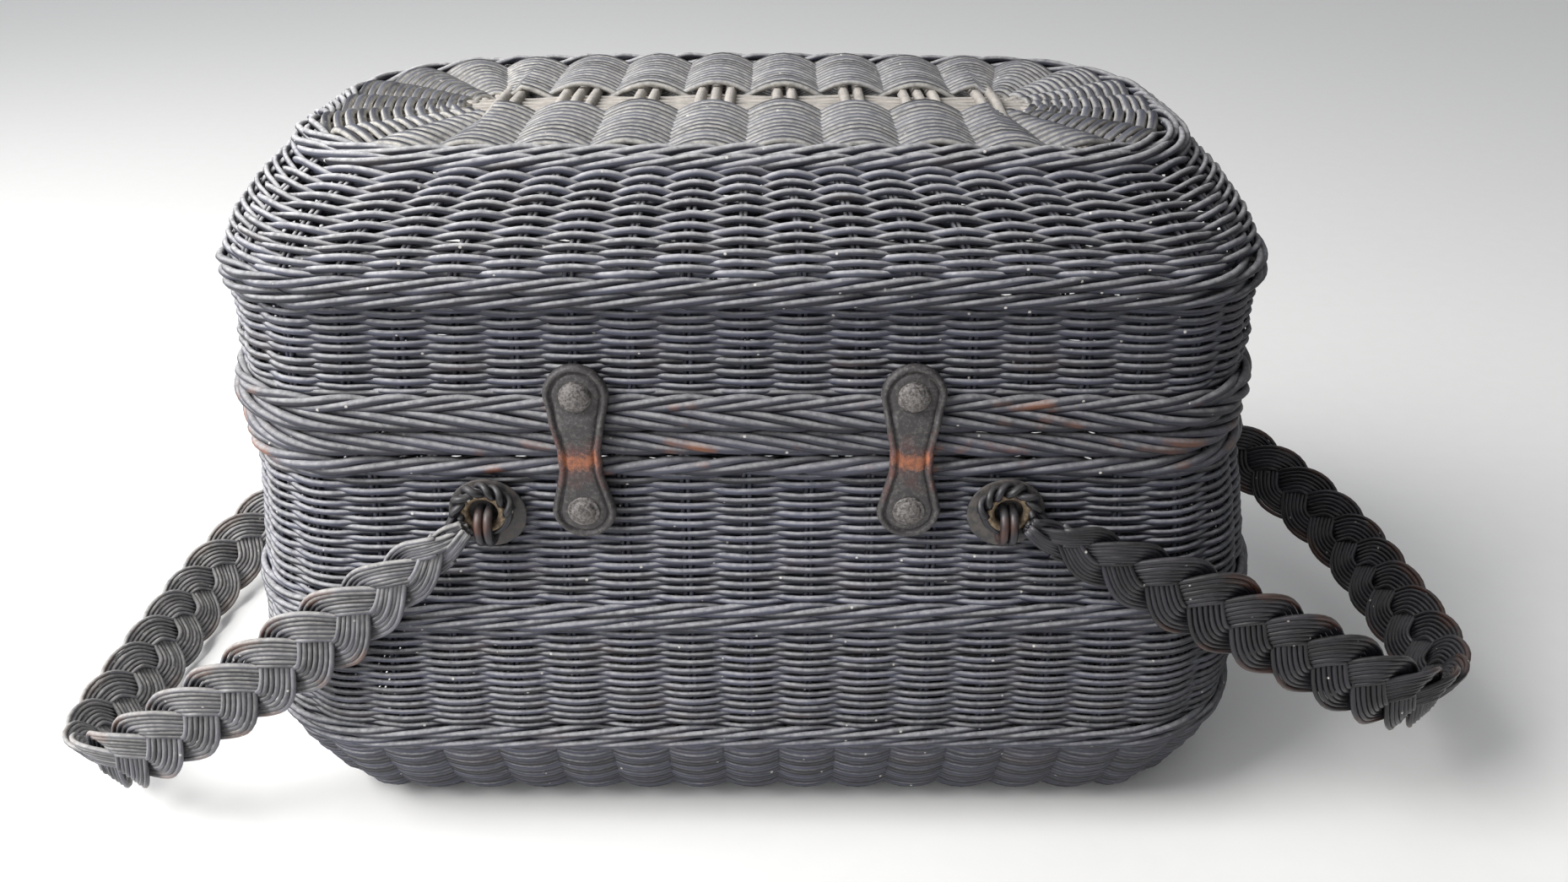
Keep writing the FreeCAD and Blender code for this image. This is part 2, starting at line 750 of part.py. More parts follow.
keep(pairOf("strap_rivets", rivet("tab_rivet", "tab_inner + strap_thick", "upper_rivet_height",
                                  "lid_burr_outer", True)), "strap_rivets")
keep(pairOf("hinge_rivets_lid", rivet("leaf_rivet", "tab_inner + strap_thick",
                                      "upper_rivet_height", "lid_burr_outer", False)),
     "hinge_rivets_lid")
keep(pairOf("hinge_rivets_body", rivet("foot_rivet", "leaf_inner + strap_thick",
                                       "lower_rivet_height", "body_burr_outer", False)),
     "hinge_rivets_body")

capHead = dome("cap_dome", "strap_inner + strap_thick", "lower_rivet_height", True)
capShank = pin("cap_shank", "shank_diameter", "strap_inner", "strap_inner + strap_thick",
               "lower_rivet_height", True)
capSocket = pin("cap_socket", "socket_diameter", "socket_face", "strap_inner",
                "lower_rivet_height", True)
capWell = pin("cap_well", "socket_well", "socket_face", "socket_face + socket_depth",
              "lower_rivet_height", True)
cap = difference("right_snap_cap", joined("MultiFuse", "cap_solid", [capHead, capShank, capSocket]),
                 capWell)
keep(cap, "right_snap_cap")
keep(mirrored("left_snap_cap", cap, ALONG_X), "left_snap_cap")

studPieces = [
    pin("stud_burr", "burr_diameter", "body_burr_outer - burr_thick", "body_burr_outer",
        "lower_rivet_height", True),
    pin("stud_shank", "shank_diameter", "body_burr_outer - burr_thick", "stud_face",
        "lower_rivet_height", True),
    pin("stud_disc", "stud_base", "stud_root", "stud_face", "lower_rivet_height", True),
    pin("stud_nose", "stud_post", "stud_root", "stud_tip", "lower_rivet_height", True)]
keep(pairOf("snap_studs", joined("MultiFuse", "snap_stud", studPieces)), "snap_studs")

# ---- what carries the handles ----


def stapleBars(name, play):
    """Front bar and both legs of a cane staple, grown by the given play all round."""
    wide = "staple_width" + play + play
    deep = "staple_thick" + play + play
    legs = []
    for part, drop in (("upper", ""), ("lower", " - staple_drop")):
        legs.append(primitive(
            "Box", name + "_" + part,
            {"Length": wide, "Height": deep, "Width": "staple_front - staple_root"},
            ("pivot_at - staple_half_width" + play.replace("+", "-"), "- staple_front",
             "pivot_height - staple_thick_half" + play.replace("+", "-") + drop)))
    return legs


stapleLegs = stapleBars("staple", "")
stapleBar = primitive(
    "Box", "staple_bar",
    {"Length": "staple_width", "Width": "staple_thick", "Height": "staple_drop + staple_thick"},
    ("pivot_at - staple_half_width", "- staple_front",
     "pivot_height - staple_drop - staple_thick_half"))
staple = joined("MultiFuse", "staple_one", stapleLegs + [stapleBar])
keep(fourOf("handle_staples", staple), "handle_staples")


def slottedDisc(name, diameter, inner, thick):
    """A disc behind or in front of the wall with slots for both legs of the staple."""
    plain = rod(name + "_plain", diameter, thick,
                ("pivot_at", inner, "pivot_height - staple_drop_half"), ALONG_X, 90)
    plain.setExpression("Placement.Base.y", "-" + bound(inner))
    slots = joined("MultiFuse", name + "_slots", stapleBars(name + "_slot", " + staple_hole"))
    return difference(name, plain, slots)


keep(fourOf("handle_discs", slottedDisc("disc_one", "disc_diameter", "disc_inner", "disc_thick")),
     "handle_discs")
keep(fourOf("staple_backs", slottedDisc("back_one", "back_disc_diameter",
                                        "back_disc_outer - back_disc_thick", "back_disc_thick")),
     "staple_backs")

# ---- the two braided handles ----


def handlePath(sketch, reach, near, far):
    """The handle's middle line: out from one ring, round two corners and back."""
    a, w, r1, r2 = amount(reach), amount("arm_offset"), amount(near), amount(far)
    start = amount("arm_start")
    shapes = [line(start, -w, a - r1, -w), arc(a - r1, r1 - w, r1, 270),
              line(a, r1 - w, a, w - r2), arc(a - r2, w - r2, r2, 0), line(a - r2, w, start, w)]
    first = sketch.addGeometry(shapes, False)[0]
    for step in range(4):
        sketch.addConstraint(Sketcher.Constraint("Tangent", first + step, 2, first + step + 1, 1))
    for step, kind in ((0, "Horizontal"), (2, "Vertical"), (4, "Horizontal")):
        sketch.addConstraint(Sketcher.Constraint(kind, first + step))
    radius(sketch, "Radius", first + 1, near)
    radius(sketch, "Radius", first + 3, far)
    dimension(sketch, "DistanceX", (-1, 1), (first, 1), "arm_start")
    dimension(sketch, "DistanceX", (-1, 1), (first + 2, 1), reach)
    dimension(sketch, "DistanceX", (-1, 1), (first + 4, 2), "arm_start")
    dimension(sketch, "DistanceY", (first, 1), (-1, 1), "arm_offset")
    dimension(sketch, "DistanceY", (-1, 1), (first + 4, 2), "arm_offset")


def turned(thing, side, fall):
    """Hang a handle piece from its pivot line; it is drawn level, reaching along +X."""
    tilt = FreeCAD.Rotation(ALONG_Y, side * amount(fall))
    face = FreeCAD.Rotation(ALONG_Z, 0 if side > 0 else 180)
    place = FreeCAD.Vector(side * amount("pivot_at"), 0, amount("pivot_height"))
    thing.Placement = FreeCAD.Placement(place, tilt.multiply(face))
    lead = "" if side > 0 else "- "
    thing.setExpression("Placement.Base.x", bound(lead + "pivot_at"))
    thing.setExpression("Placement.Base.z", bound("pivot_height"))
    return thing


def handle(prefix, side, reach, near, far, fall):
    body = newBody(prefix + "_handle_braid")
    path = sketchOn(body, "MiddleLine", "XY_Plane")
    handlePath(path, reach, near, far)
    section = sketchOn(body, "Section", "YZ_Plane", "arm_start")
    half = "braid_half_width"
    polygon(section, [("- arm_offset - braid_half_thick", "- " + half),
                      ("- arm_offset + braid_half_thick", "- " + half),
                      ("- arm_offset + braid_half_thick", half),
                      ("- arm_offset - braid_half_thick", half)])
    sweep(body, section, path)
    taper = sketchOn(body, "Taper", "XZ_Plane")
    polygon(taper, [("arm_start - 1", "braid_end_half"), ("arm_start + braid_taper", half + " + 1"),
                    ("arm_start - 1", half + " + 1")])
    polygon(taper, [("arm_start - 1", "- braid_end_half"), ("arm_start - 1", "- " + half + " - 1"),
                    ("arm_start + braid_taper", "- " + half + " - 1")])
    doc.recompute()
    pocket(body, taper, "NarrowEnds")
    keep(turned(body, side, fall), prefix + "_handle_braid")

    rings, wraps = [], []
    for end in ("- ", ""):
        tag = "front" if (end == "- ") == (side > 0) else "back"
        name = "%s_%s" % (prefix, tag)
        ring = primitive("Torus", name + "_ring", {"Radius1": "ring_radius", "Radius2": "ring_wire"},
                         ("0", end + "pivot_plane", "0"), ALONG_X, 90)
        wrap = primitive("Torus", name + "_wrap", {"Radius1": "wrap_radius", "Radius2": "wrap_thick"},
                         ("0", end + "pivot_plane", "0"), ALONG_X, 90)
        neck = primitive("Box", name + "_neck",
                         {"Length": "arm_start - wrap_neck", "Width": "neck_depth",
                          "Height": "neck_height_size"},
                         ("wrap_neck", (end + "neck_outer") if end else "neck_inner",
                          "- neck_half_height"))
        sleeve = difference(name + "_sleeve", joined("MultiFuse", name + "_bound", [wrap, neck]), ring)
        rings.append(ring)
        wraps.append(sleeve)
    keep(turned(joined("Compound", prefix + "_rings", rings), side, fall),
         prefix + "_handle_rings")
    keep(turned(joined("Compound", prefix + "_wraps", wraps), side, fall),
         prefix + "_handle_wraps")


handle("right", 1, "right_reach", "right_front_corner", "right_back_corner", "right_fall")
handle("left", -1, "left_reach", "left_back_corner", "left_front_corner", "left_fall")

# ---- checks and export ----
doc.recompute()
for thing in doc.Objects:
    if "Invalid" in thing.State or "Error" in thing.State:
        raise ValueError("%s is in state %s" % (thing.Label, thing.State))
for thing in nodes:
    if thing.Shape.isNull() or not thing.Shape.isValid():
        raise ValueError("%s has no valid shape" % thing.Label)

os.makedirs("parts", exist_ok=True)
for thing in nodes:
    thing.Shape.exportStep("parts/%s.step" % thing.Label)
    size = thing.Shape.BoundBox
    print("%-22s %2d solids %9.1f mm3  x %.1f..%.1f y %.1f..%.1f z %.1f..%.1f" % (
        thing.Label, len(thing.Shape.Solids), thing.Shape.Volume,
        size.XMin, size.XMax, size.YMin, size.YMax, size.ZMin, size.ZMax))
print(len(nodes), "nodes")
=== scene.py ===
import bpy
import math
import numpy as np
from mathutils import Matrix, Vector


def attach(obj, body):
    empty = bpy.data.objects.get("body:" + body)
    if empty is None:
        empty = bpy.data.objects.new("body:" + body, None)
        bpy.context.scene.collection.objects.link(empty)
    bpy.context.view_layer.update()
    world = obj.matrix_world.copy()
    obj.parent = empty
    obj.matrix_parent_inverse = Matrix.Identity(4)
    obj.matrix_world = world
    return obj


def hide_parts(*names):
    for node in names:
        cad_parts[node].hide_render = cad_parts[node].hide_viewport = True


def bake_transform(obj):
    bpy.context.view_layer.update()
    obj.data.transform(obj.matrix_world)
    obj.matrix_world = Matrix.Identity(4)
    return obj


# Lidded wicker hamper, dyed dark: every rod is real geometry, woven on the same outline as the frame.
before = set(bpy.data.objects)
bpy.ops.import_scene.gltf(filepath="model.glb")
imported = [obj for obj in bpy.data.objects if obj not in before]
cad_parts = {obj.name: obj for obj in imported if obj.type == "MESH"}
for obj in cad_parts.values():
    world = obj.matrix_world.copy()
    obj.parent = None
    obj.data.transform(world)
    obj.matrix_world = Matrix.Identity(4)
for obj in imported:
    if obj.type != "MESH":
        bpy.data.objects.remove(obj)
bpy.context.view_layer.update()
rng = np.random.default_rng(7)
mm = 0.001


def hexColor(code):
    parts = [int(code[k:k + 2], 16) / 255 for k in (1, 3, 5)]
    return tuple(p / 12.92 if p <= 0.04045 else ((p + 0.055) / 1.055) ** 2.4 for p in parts) + (1,)


def addNode(tree, kind, settings=None, links=None):
    node = tree.nodes.new("ShaderNode" + kind)
    for key, value in (settings or {}).items():
        if isinstance(key, int) or key in node.inputs:
            node.inputs[key].default_value = value
        else:
            setattr(node, key, value)
    for key, source in (links or {}).items():
        tree.links.new(source, node.inputs[key])
    return node


def newMaterial(name):
    material = bpy.data.materials.new(name)
    material.use_nodes = True
    tree = material.node_tree
    tree.nodes.clear()
    return material, tree


print("materials")

willowFinishes = {
    # dyed willow: dark vat dye over peeled rods, gone grey where dust and light lie on it
    "dyedWillowWeave": dict(deep="#0e0f17", worn="#464859", dust="#c3c2c3", brown="#4a332a", dustAndTopLightAmount=0.8,
                            brownAmount=0.25, rough=0.54, fibre=0.5, lying=(0.0, 1.0)),
    # the same rods in the rims and wales, rubbed to bare brown wood on the high spots
    "rubbedWillowWale": dict(deep="#11121b", worn="#494a58", dust="#bfbdbd", brown="#84502f", dustAndTopLightAmount=0.72,
                             brownAmount=0.75, rough=0.5, fibre=0.5, lying=(0.0, 1.0)),
    # top of the lid: the same dye under years of pale dust, driest to the eye
    "dustyWillowTop": dict(deep="#14151e", worn="#535563", dust="#d1cfcf", brown="#55463c", dustAndTopLightAmount=0.9,
                           brownAmount=0.2, rough=0.6, fibre=0.5, lying=(0.05, 1.0)),
    # the humps of the lid's plate: the same rods, crests wiped dark, dust left in the furrows between them
    "furrowedWillowPlate": dict(deep="#1d1e29", worn="#62646f", dust="#cfcbc3", brown="#55463c", dustAndTopLightAmount=0.95,
                                brownAmount=0.15, rough=0.6, fibre=0.5, lying=(1.0, 0.55)),
    # undyed split willow, silvery and dull
    "greyWillowSticks": dict(deep="#6f6a66", worn="#a39c95", dust="#c9c3ba", brown="#7d6a5c", dustAndTopLightAmount=0.8,
                             brownAmount=0.3, rough=0.72, fibre=0.5, lying=(-0.35, 0.95)),
    # centre cane of the handles, polished by hands: dark, glossy, red-brown at the edges
    "polishedCaneHandle": dict(deep="#0d0c10", worn="#37343c", dust="#8d8a88", brown="#5f3824", dustAndTopLightAmount=0.35,
                               brownAmount=0.62, rough=0.32, fibre=0.3, lying=(0.0, 1.0)),
    # painted light: the left handle's copy of the same cane, paler and greyer, standing in for the stronger light
    # on that handle
    "paintedLightCaneHandle": dict(deep="#1b1b22", worn="#696972", dust="#c3c0bb", brown="#6e4a33", dustAndTopLightAmount=0.75,
                             brownAmount=0.5, rough=0.4, fibre=0.35, lying=(-0.2, 0.9)),
}


# painted shade: the right end is darker than the left; where along X, in metres, that starts and stops, and how
# far it goes
paintedShadeEnd = dict(shadeDustFrom=-0.15, shadeDustTo=0.22, shadeDustLeft=1.1, shadeDustRight=0.5, shadeDarkFrom=0.02, shadeDarkTo=0.21, shadeDarkRight=0.5)


def willow(name, deep, worn, dust, brown, dustAndTopLightAmount, brownAmount, rough, fibre, lying):
    material, tree = newMaterial(name)
    where = addNode(tree, "TexCoord")
    tone = addNode(tree, "Attribute", {"attribute_name": "rodTone"})
    rod = addNode(tree, "SeparateColor", links={"Color": tone.outputs["Color"]})
    # fibres: streaks 0.4 mm wide and about 12 mm long, laid along each rod
    along = addNode(tree, "Mapping", {"Scale": (2500, 80, 1)}, {"Vector": where.outputs["UV"]})
    streaks = addNode(tree, "TexNoise", {"Scale": 1.0, "Detail": 3, "Roughness": 0.6},
                      {"Vector": along.outputs[0]})
    # dye patches some 25 mm across, and a coarse grime of 3 mm
    patches = addNode(tree, "TexNoise", {"Scale": 40, "Detail": 3}, {"Vector": where.outputs["Object"]})
    grime = addNode(tree, "TexNoise", {"Scale": 330, "Detail": 4, "Roughness": 0.65},
                    {"Vector": where.outputs["Object"]})
    mixedTone = addNode(tree, "Math", {"operation": "MULTIPLY_ADD", 1: 0.45},
                        {0: rod.outputs[0], 2: streaks.outputs[0]})
    spread = addNode(tree, "MapRange", {"From Min": 0.5, "From Max": 0.98, "To Min": 0.0, "To Max": 1.0},
                     {0: mixedTone.outputs[0]})
    base = addNode(tree, "Mix", {"data_type": "RGBA", 6: hexColor(deep), 7: hexColor(worn)},
                   {0: spread.outputs[0]})
    # bare brown wood where rubbing has gone through the dye
    rubbed = addNode(tree, "Math", {"operation": "MULTIPLY"}, {0: patches.outputs[0], 1: rod.outputs[1]})
    bare = addNode(tree, "MapRange", {"From Min": 0.5, "From Max": 0.62, "To Min": 0.0, "To Max": brownAmount},
                   {0: rubbed.outputs[0]})
    base = addNode(tree, "Mix", {"data_type": "RGBA", 7: hexColor(brown)},
                   {0: bare.outputs[0], 6: base.outputs[2]})
    # dust lies on what faces up, less on the sides, and the pale tops of the rods are also painted top light; on
    # the plate it keeps to the furrows
    facing = addNode(tree, "SeparateXYZ", links={0: where.outputs["Normal"]})  # the piece's own
    dustAndTopLight = addNode(tree, "MapRange", {"interpolation_type": "SMOOTHSTEP", "From Min": lying[0],
                                         "From Max": lying[1], "To Min": 0.0, "To Max": dustAndTopLightAmount},
                      {0: facing.outputs[2]})
    patchy = addNode(tree, "MapRange", {"From Min": 0.25, "From Max": 0.65, "To Min": 0.3},
                     {0: grime.outputs[0]})
    amount = addNode(tree, "Math", {"operation": "MULTIPLY"}, {0: dustAndTopLight.outputs[0], 1: patchy.outputs[0]})
    # painted shade: towards the right end the dust thins and the colour goes back to the deep dye
    place = addNode(tree, "SeparateXYZ", links={0: where.outputs["Object"]})
    shadeThinsDust = addNode(tree, "MapRange", {"From Min": paintedShadeEnd["shadeDustFrom"], "From Max": paintedShadeEnd["shadeDustTo"],
                                         "To Min": paintedShadeEnd["shadeDustLeft"], "To Max": paintedShadeEnd["shadeDustRight"]},
                      {0: place.outputs[0]})
    amount = addNode(tree, "Math", {"operation": "MULTIPLY", "use_clamp": True},
                     {0: amount.outputs[0], 1: shadeThinsDust.outputs[0]})
    paintedShadeMix = addNode(tree, "MapRange", {"From Min": paintedShadeEnd["shadeDarkFrom"], "From Max": paintedShadeEnd["shadeDarkTo"],
                                        "To Min": 0.0, "To Max": paintedShadeEnd["shadeDarkRight"]}, {0: place.outputs[0]})
    base = addNode(tree, "Mix", {"data_type": "RGBA", 7: hexColor(deep)},
                   {0: paintedShadeMix.outputs[0], 6: base.outputs[2]})
    base = addNode(tree, "Mix", {"data_type": "RGBA", 7: hexColor(dust)},
                   {0: amount.outputs[0], 6: base.outputs[2]})
    # stray pale specks, a millimetre or so, thinly scattered
    specks = addNode(tree, "TexVoronoi", {"Scale": 110, "Randomness": 1.0}, {"Vector": where.outputs["Object"]})
    few = addNode(tree, "MapRange", {"From Min": 0.055, "From Max": 0.075, "To Min": 0.8, "To Max": 0.0},
                  {0: specks.outputs["Distance"]})
    base = addNode(tree, "Mix", {"data_type": "RGBA", 7: hexColor("#cfcac2")},
                   {0: few.outputs[0], 6: base.outputs[2]})
    gloss = addNode(tree, "MapRange", {"From Min": 0.0, "From Max": 1.0, "To Min": rough, "To Max": 0.92},
                    {0: amount.outputs[0]})
    relief = addNode(tree, "Math", {"operation": "MULTIPLY_ADD", 1: 0.5},
                     {0: grime.outputs[0], 2: streaks.outputs[0]})
    bump = addNode(tree, "Bump", {"Strength": fibre, "Distance": 0.0004}, {"Height": relief.outputs[0]})
    shader = addNode(tree, "BsdfPrincipled", {"IOR": 1.5, "Specular IOR Level": 0.45},
                     {"Base Color": base.outputs[2], "Roughness": gloss.outputs[0], "Normal": bump.outputs[0]})
    addNode(tree, "OutputMaterial", links={"Surface": shader.outputs[0]})
    return material


wicker = {name: willow(name, **finish) for name, finish in willowFinishes.items()}


def strapLeather():
    # vegetable-tanned strap leather, blackened: creased line, red-brown rubbed edges, dry orange at the fold
    finish = dict(black="#2a2729", red="#5a3029", bare="#9c5f40", dust="#98938e")
    material, tree = newMaterial("blackenedStrapLeather")
    where = addNode(tree, "TexCoord")
    tone = addNode(tree, "SeparateColor", links={"Color": addNode(
        tree, "Attribute", {"attribute_name": "rodTone"}).outputs["Color"]})
    # pores 0.5 mm apart, dull clouds of 8 mm and fine cracks of 1.4 mm
    pores = addNode(tree, "TexVoronoi", {"Scale": 1900}, {"Vector": where.outputs["Object"]})
    clouds = addNode(tree, "TexNoise", {"Scale": 125, "Detail": 5, "Roughness": 0.6},
                     {"Vector": where.outputs["Object"]})
    cracks = addNode(tree, "TexNoise", {"Scale": 700, "Detail": 4, "Roughness": 0.7},
                     {"Vector": where.outputs["Object"]})
    edge = addNode(tree, "Math", {"operation": "MULTIPLY"}, {0: tone.outputs[0], 1: clouds.outputs[0]})
    redder = addNode(tree, "MapRange", {"From Min": 0.4, "From Max": 0.7}, {0: edge.outputs[0]})
    base = addNode(tree, "Mix", {"data_type": "RGBA", 6: hexColor(finish["black"]), 7: hexColor(finish["red"])},
                   {0: redder.outputs[0]})
    dusty = addNode(tree, "MapRange", {"From Min": 0.48, "From Max": 0.74, "To Min": 0.05, "To Max": 0.34},
                    {0: cracks.outputs[0]})
    base = addNode(tree, "Mix", {"data_type": "RGBA", 7: hexColor(finish["dust"])},
                   {0: dusty.outputs[0], 6: base.outputs[2]})
    folded = addNode(tree, "Math", {"operation": "MULTIPLY_ADD", 1: 1.0},
                     {0: tone.outputs[1], 2: addNode(tree, "MapRange", {"To Min": -0.75, "To Max": 0.55},
                                                     {0: cracks.outputs[0]}).outputs[0]})
    worn = addNode(tree, "MapRange", {"From Min": 0.5, "From Max": 0.95, "To Min": 0.0, "To Max": 0.9},
                   {0: folded.outputs[0]})
    base = addNode(tree, "Mix", {"data_type": "RGBA", 7: hexColor(finish["bare"])},
                   {0: worn.outputs[0], 6: base.outputs[2]})
    rough = addNode(tree, "MapRange", {"To Min": 0.42, "To Max": 0.75}, {0: clouds.outputs[0]})
    height = addNode(tree, "Math", {"operation": "MULTIPLY_ADD", 1: 0.35},
                     {0: pores.outputs["Distance"], 2: cracks.outputs[0]})
    bump = addNode(tree, "Bump", {"Strength": 0.45, "Distance": 0.0003}, {"Height": height.outputs[0]})
    shader = addNode(tree, "BsdfPrincipled", {"IOR": 1.5},
                     {"Base Color": base.outputs[2], "Roughness": rough.outputs[0], "Normal": bump.outputs[0]})
    addNode(tree, "OutputMaterial", links={"Surface": shader.outputs[0]})
    return material


def oldMetal(name, clean, crust, metallic, rough, grain):
    material, tree = newMaterial(name)
    where = addNode(tree, "TexCoord")
    rust = addNode(tree, "TexNoise", {"Scale": grain, "Detail": 6, "Roughness": 0.7},
                   {"Vector": where.outputs["Object"]})
    cover = addNode(tree, "MapRange", {"From Min": 0.42, "From Max": 0.6}, {0: rust.outputs[0]})
    base = addNode(tree, "Mix", {"data_type": "RGBA", 6: hexColor(clean), 7: hexColor(crust)},
                   {0: cover.outputs[0]})
    shine = addNode(tree, "MapRange", {"To Min": metallic, "To Max": metallic * 0.35}, {0: cover.outputs[0]})
    dull = addNode(tree, "MapRange", {"To Min": rough, "To Max": 0.85}, {0: cover.outputs[0]})
    bump = addNode(tree, "Bump", {"Strength": 0.6, "Distance": 0.0003}, {"Height": rust.outputs[0]})
    shader = addNode(tree, "BsdfPrincipled", links={"Base Color": base.outputs[2], "Metallic": shine.outputs[0],
                                                    "Roughness": dull.outputs[0], "Normal": bump.outputs[0]})
    addNode(tree, "OutputMaterial", links={"Surface": shader.outputs[0]})
    return material


leather = strapLeather()
# pressed steel caps, oxidised: a dark rough skin with grey grit of about 1 mm
capSteel = oldMetal("oxidisedSteelCap", "#4b4847", "#807b78", 0.5, 0.44, 900)
# japanned tin discs: brown-grey lacquer, worn and stained
discTin = oldMetal("japannedTinDisc", "#3c3b3c", "#5c5652", 0.3, 0.5, 220)
# drawn brass rings, gone dull and brown where hands don't rub
ringBrass = oldMetal("tarnishedBrassRing", "#8d7c64", "#51443a", 0.75, 0.45, 420)


def finishMesh(name, points, faces, uv, tones, material):
    mesh = bpy.data.meshes.new(name)
    mesh.vertices.add(len(points))
    mesh.vertices.foreach_set("co", np.asarray(points, np.float32).ravel())
    sizes = np.array([len(f) for f in faces]) if isinstance(faces, list) else np.full(len(faces), faces.shape[1])
    flat = np.concatenate([np.asarray(f) for f in faces]) if isinstance(faces, list) else faces.ravel()
    mesh.loops.add(len(flat))
    mesh.loops.foreach_set("vertex_index", flat.astype(np.int32))
    mesh.polygons.add(len(sizes))
    mesh.polygons.foreach_set("loop_start", (np.cumsum(sizes) - sizes).astype(np.int32))
    mesh.polygons.foreach_set("loop_total", sizes.astype(np.int32))
    mesh.update(calc_edges=True)
    mesh.polygons.foreach_set("use_smooth", np.ones(len(sizes), bool))
    if uv is not None:
        mesh.uv_layers.new(name="UVMap").data.foreach_set("uv", np.asarray(uv, np.float32).ravel())
    layer = mesh.color_attributes.new("rodTone", "FLOAT_COLOR", "POINT")
    layer.data.foreach_set("color", np.asarray(tones, np.float32).ravel())
    mesh.materials.append(material)
    mesh.validate()
    piece = bpy.data.objects.new(name, mesh)
    bpy.context.scene.collection.objects.link(piece)
    return piece


def rodBundle(name, rods, material, sides=6):
    # each rod: dict(path, radius, closed, up, tone, rub, flat); one mesh for the whole bundle
    allPoints, allTones, quads, quadUv, caps, capUv = [], [], [], [], [], []
    first = 0
    angles = np.arange(sides) * 2 * math.pi / sides
    for rod in rods:
        path = np.asarray(rod["path"], float)
        n = len(path)
        closed = rod.get("closed", False)
        radius = np.broadcast_to(np.asarray(rod["radius"], float), (n,))
        tangent = (np.roll(path, -1, 0) - np.roll(path, 1, 0)) if closed else np.gradient(path, axis=0)
        tangent /= np.maximum(np.linalg.norm(tangent, axis=1, keepdims=True), 1e-12)
        up = np.broadcast_to(np.asarray(rod.get("up", (0, 0, 1)), float), (n, 3))
        side = np.cross(tangent, up)
        side /= np.maximum(np.linalg.norm(side, axis=1, keepdims=True), 1e-12)
        over = np.cross(side, tangent)
        flat = rod.get("flat", 1.0)
        ring = (path[:, None] + radius[:, None, None] * (np.cos(angles)[None, :, None] * side[:, None] +
                                                         flat * np.sin(angles)[None, :, None] * over[:, None]))
        allPoints.append(ring.reshape(-1, 3))
        tone = np.zeros((n * sides, 4))
        tone[:, 0] = rod.get("tone", 0.5)
        tone[:, 1] = np.repeat(np.broadcast_to(rod.get("rub", 0.5), (n,)), sides)
        tone[:, 3] = 1
        allTones.append(tone)
        steps = np.arange(n if closed else n - 1)
        i, j = np.meshgrid(steps, np.arange(sides), indexing="ij")
        i2, j2 = (i + 1) % n, (j + 1) % sides
        quads.append(np.stack([first + i * sides + j, first + i * sides + j2, first + i2 * sides + j2,
                               first + i2 * sides + j], -1).reshape(-1, 4))
        lengths = np.concatenate([[0], np.cumsum(np.linalg.norm(np.roll(path, -1, 0) - path, axis=1))])
        shift = rod.get("tone", 0.5) * 3.7
        around = 2 * math.pi * float(radius.mean()) / sides
        u0, u1, v0, v1 = j * around + shift, (j + 1) * around + shift, lengths[i] + shift, lengths[i + 1] + shift
        quadUv.append(np.stack([u0, v0, u1, v0, u1, v1, u0, v1], -1).reshape(-1, 2))
        if not closed:
            for face in (first + np.arange(sides)[::-1], first + (n - 1) * sides + np.arange(sides)):
                caps.append(face)
                capUv.append(np.stack([np.cos(angles) * 0.001 + shift, np.sin(angles) * 0.001 + shift], -1))
        first += n * sides
    faces = np.concatenate(quads)
    uv = np.concatenate(quadUv)
    if caps:
        faces = [f for f in faces] + caps
        uv = np.concatenate([uv] + capUv)
    return finishMesh(name, np.concatenate(allPoints), faces, uv, np.concatenate(allTones), material)


outline = dict(halfLength=0.208, halfDepth=0.110, corner=0.050)


def ringPoints(turns, bulge, corner=None):
    # a point and its outward direction on the rounded oblong, turns counted from the middle of the front
    hx, hy = outline["halfLength"] + bulge, outline["halfDepth"] + bulge
    r = outline["corner"] + bulge if corner is None else corner
    straightX = outline["halfLength"] - outline["corner"]
    straightY = outline["halfDepth"] - outline["corner"]
    arcLength = math.pi / 2 * outline["corner"]
    half = [straightX, arcLength, 2 * straightY, arcLength, straightX]
    runs = half[:-1] + [2 * straightX] + half[1:]
    knots = np.concatenate([[0], np.cumsum(runs)])
    s = (turns % 1.0) * knots[-1]
    angle = np.radians(np.interp(s, knots, [-90, -90, 0, 0, 90, 90, 180, 180, 270, 270]))
    cx = np.interp(s, knots, [0, 1, 1, 1, 1, -1, -1, -1, -1, 0]) * (hx - r)
    cy = np.interp(s, knots, [-1, -1, -1, 1, 1, 1, 1, -1, -1, -1]) * (hy - r)
    out = np.stack([np.cos(angle), np.sin(angle)], -1)
    return np.stack([cx, cy], -1) + out * np.asarray(r)[..., None], out


class Profile:
    # a wall seen from the side: height, bulge past the outline and corner radius along its surface
    def __init__(self, levels):
        z, bulge, corner = (np.array(v, float) * mm for v in zip(*levels))
        fine = np.linspace(0, len(z) - 1, 241)
        table = [np.interp(fine, np.arange(len(z)), v) for v in (z, bulge, corner)]
        kernel = np.ones(21) / 21
        self.z, self.bulge, self.corner = (self.smooth(v, kernel) for v in table)
        steps = np.hypot(np.diff(self.z), np.diff(self.bulge))
        self.s = np.concatenate([[0], np.cumsum(steps)])
        self.length = self.s[-1]

    def smooth(self, values, kernel):
        ramp = np.arange(1, 11)
        before = values[0] - (values[1] - values[0]) * ramp[::-1]
        after = values[-1] + (values[-1] - values[-2]) * ramp
        return np.convolve(np.concatenate([before, values, after]), kernel, "valid")

    def at(self, s, lift=0.0):
        z, bulge, corner = (np.interp(s, self.s, v) for v in (self.z, self.bulge, self.corner))
        ahead = np.interp(s + 0.001, self.s, self.z) - np.interp(s - 0.001, self.s, self.z)
        aside = np.interp(s + 0.001, self.s, self.bulge) - np.interp(s - 0.001, self.s, self.bulge)
        size = np.hypot(ahead, aside)
        return z - aside / size * lift, bulge + ahead / size * lift, corner + ahead / size * lift


def wobble(turns, waves, size):
    total = np.zeros_like(turns)
    for count in waves:
        total += np.sin(2 * math.pi * (count * turns + rng.random())) / len(waves)
    return total * size


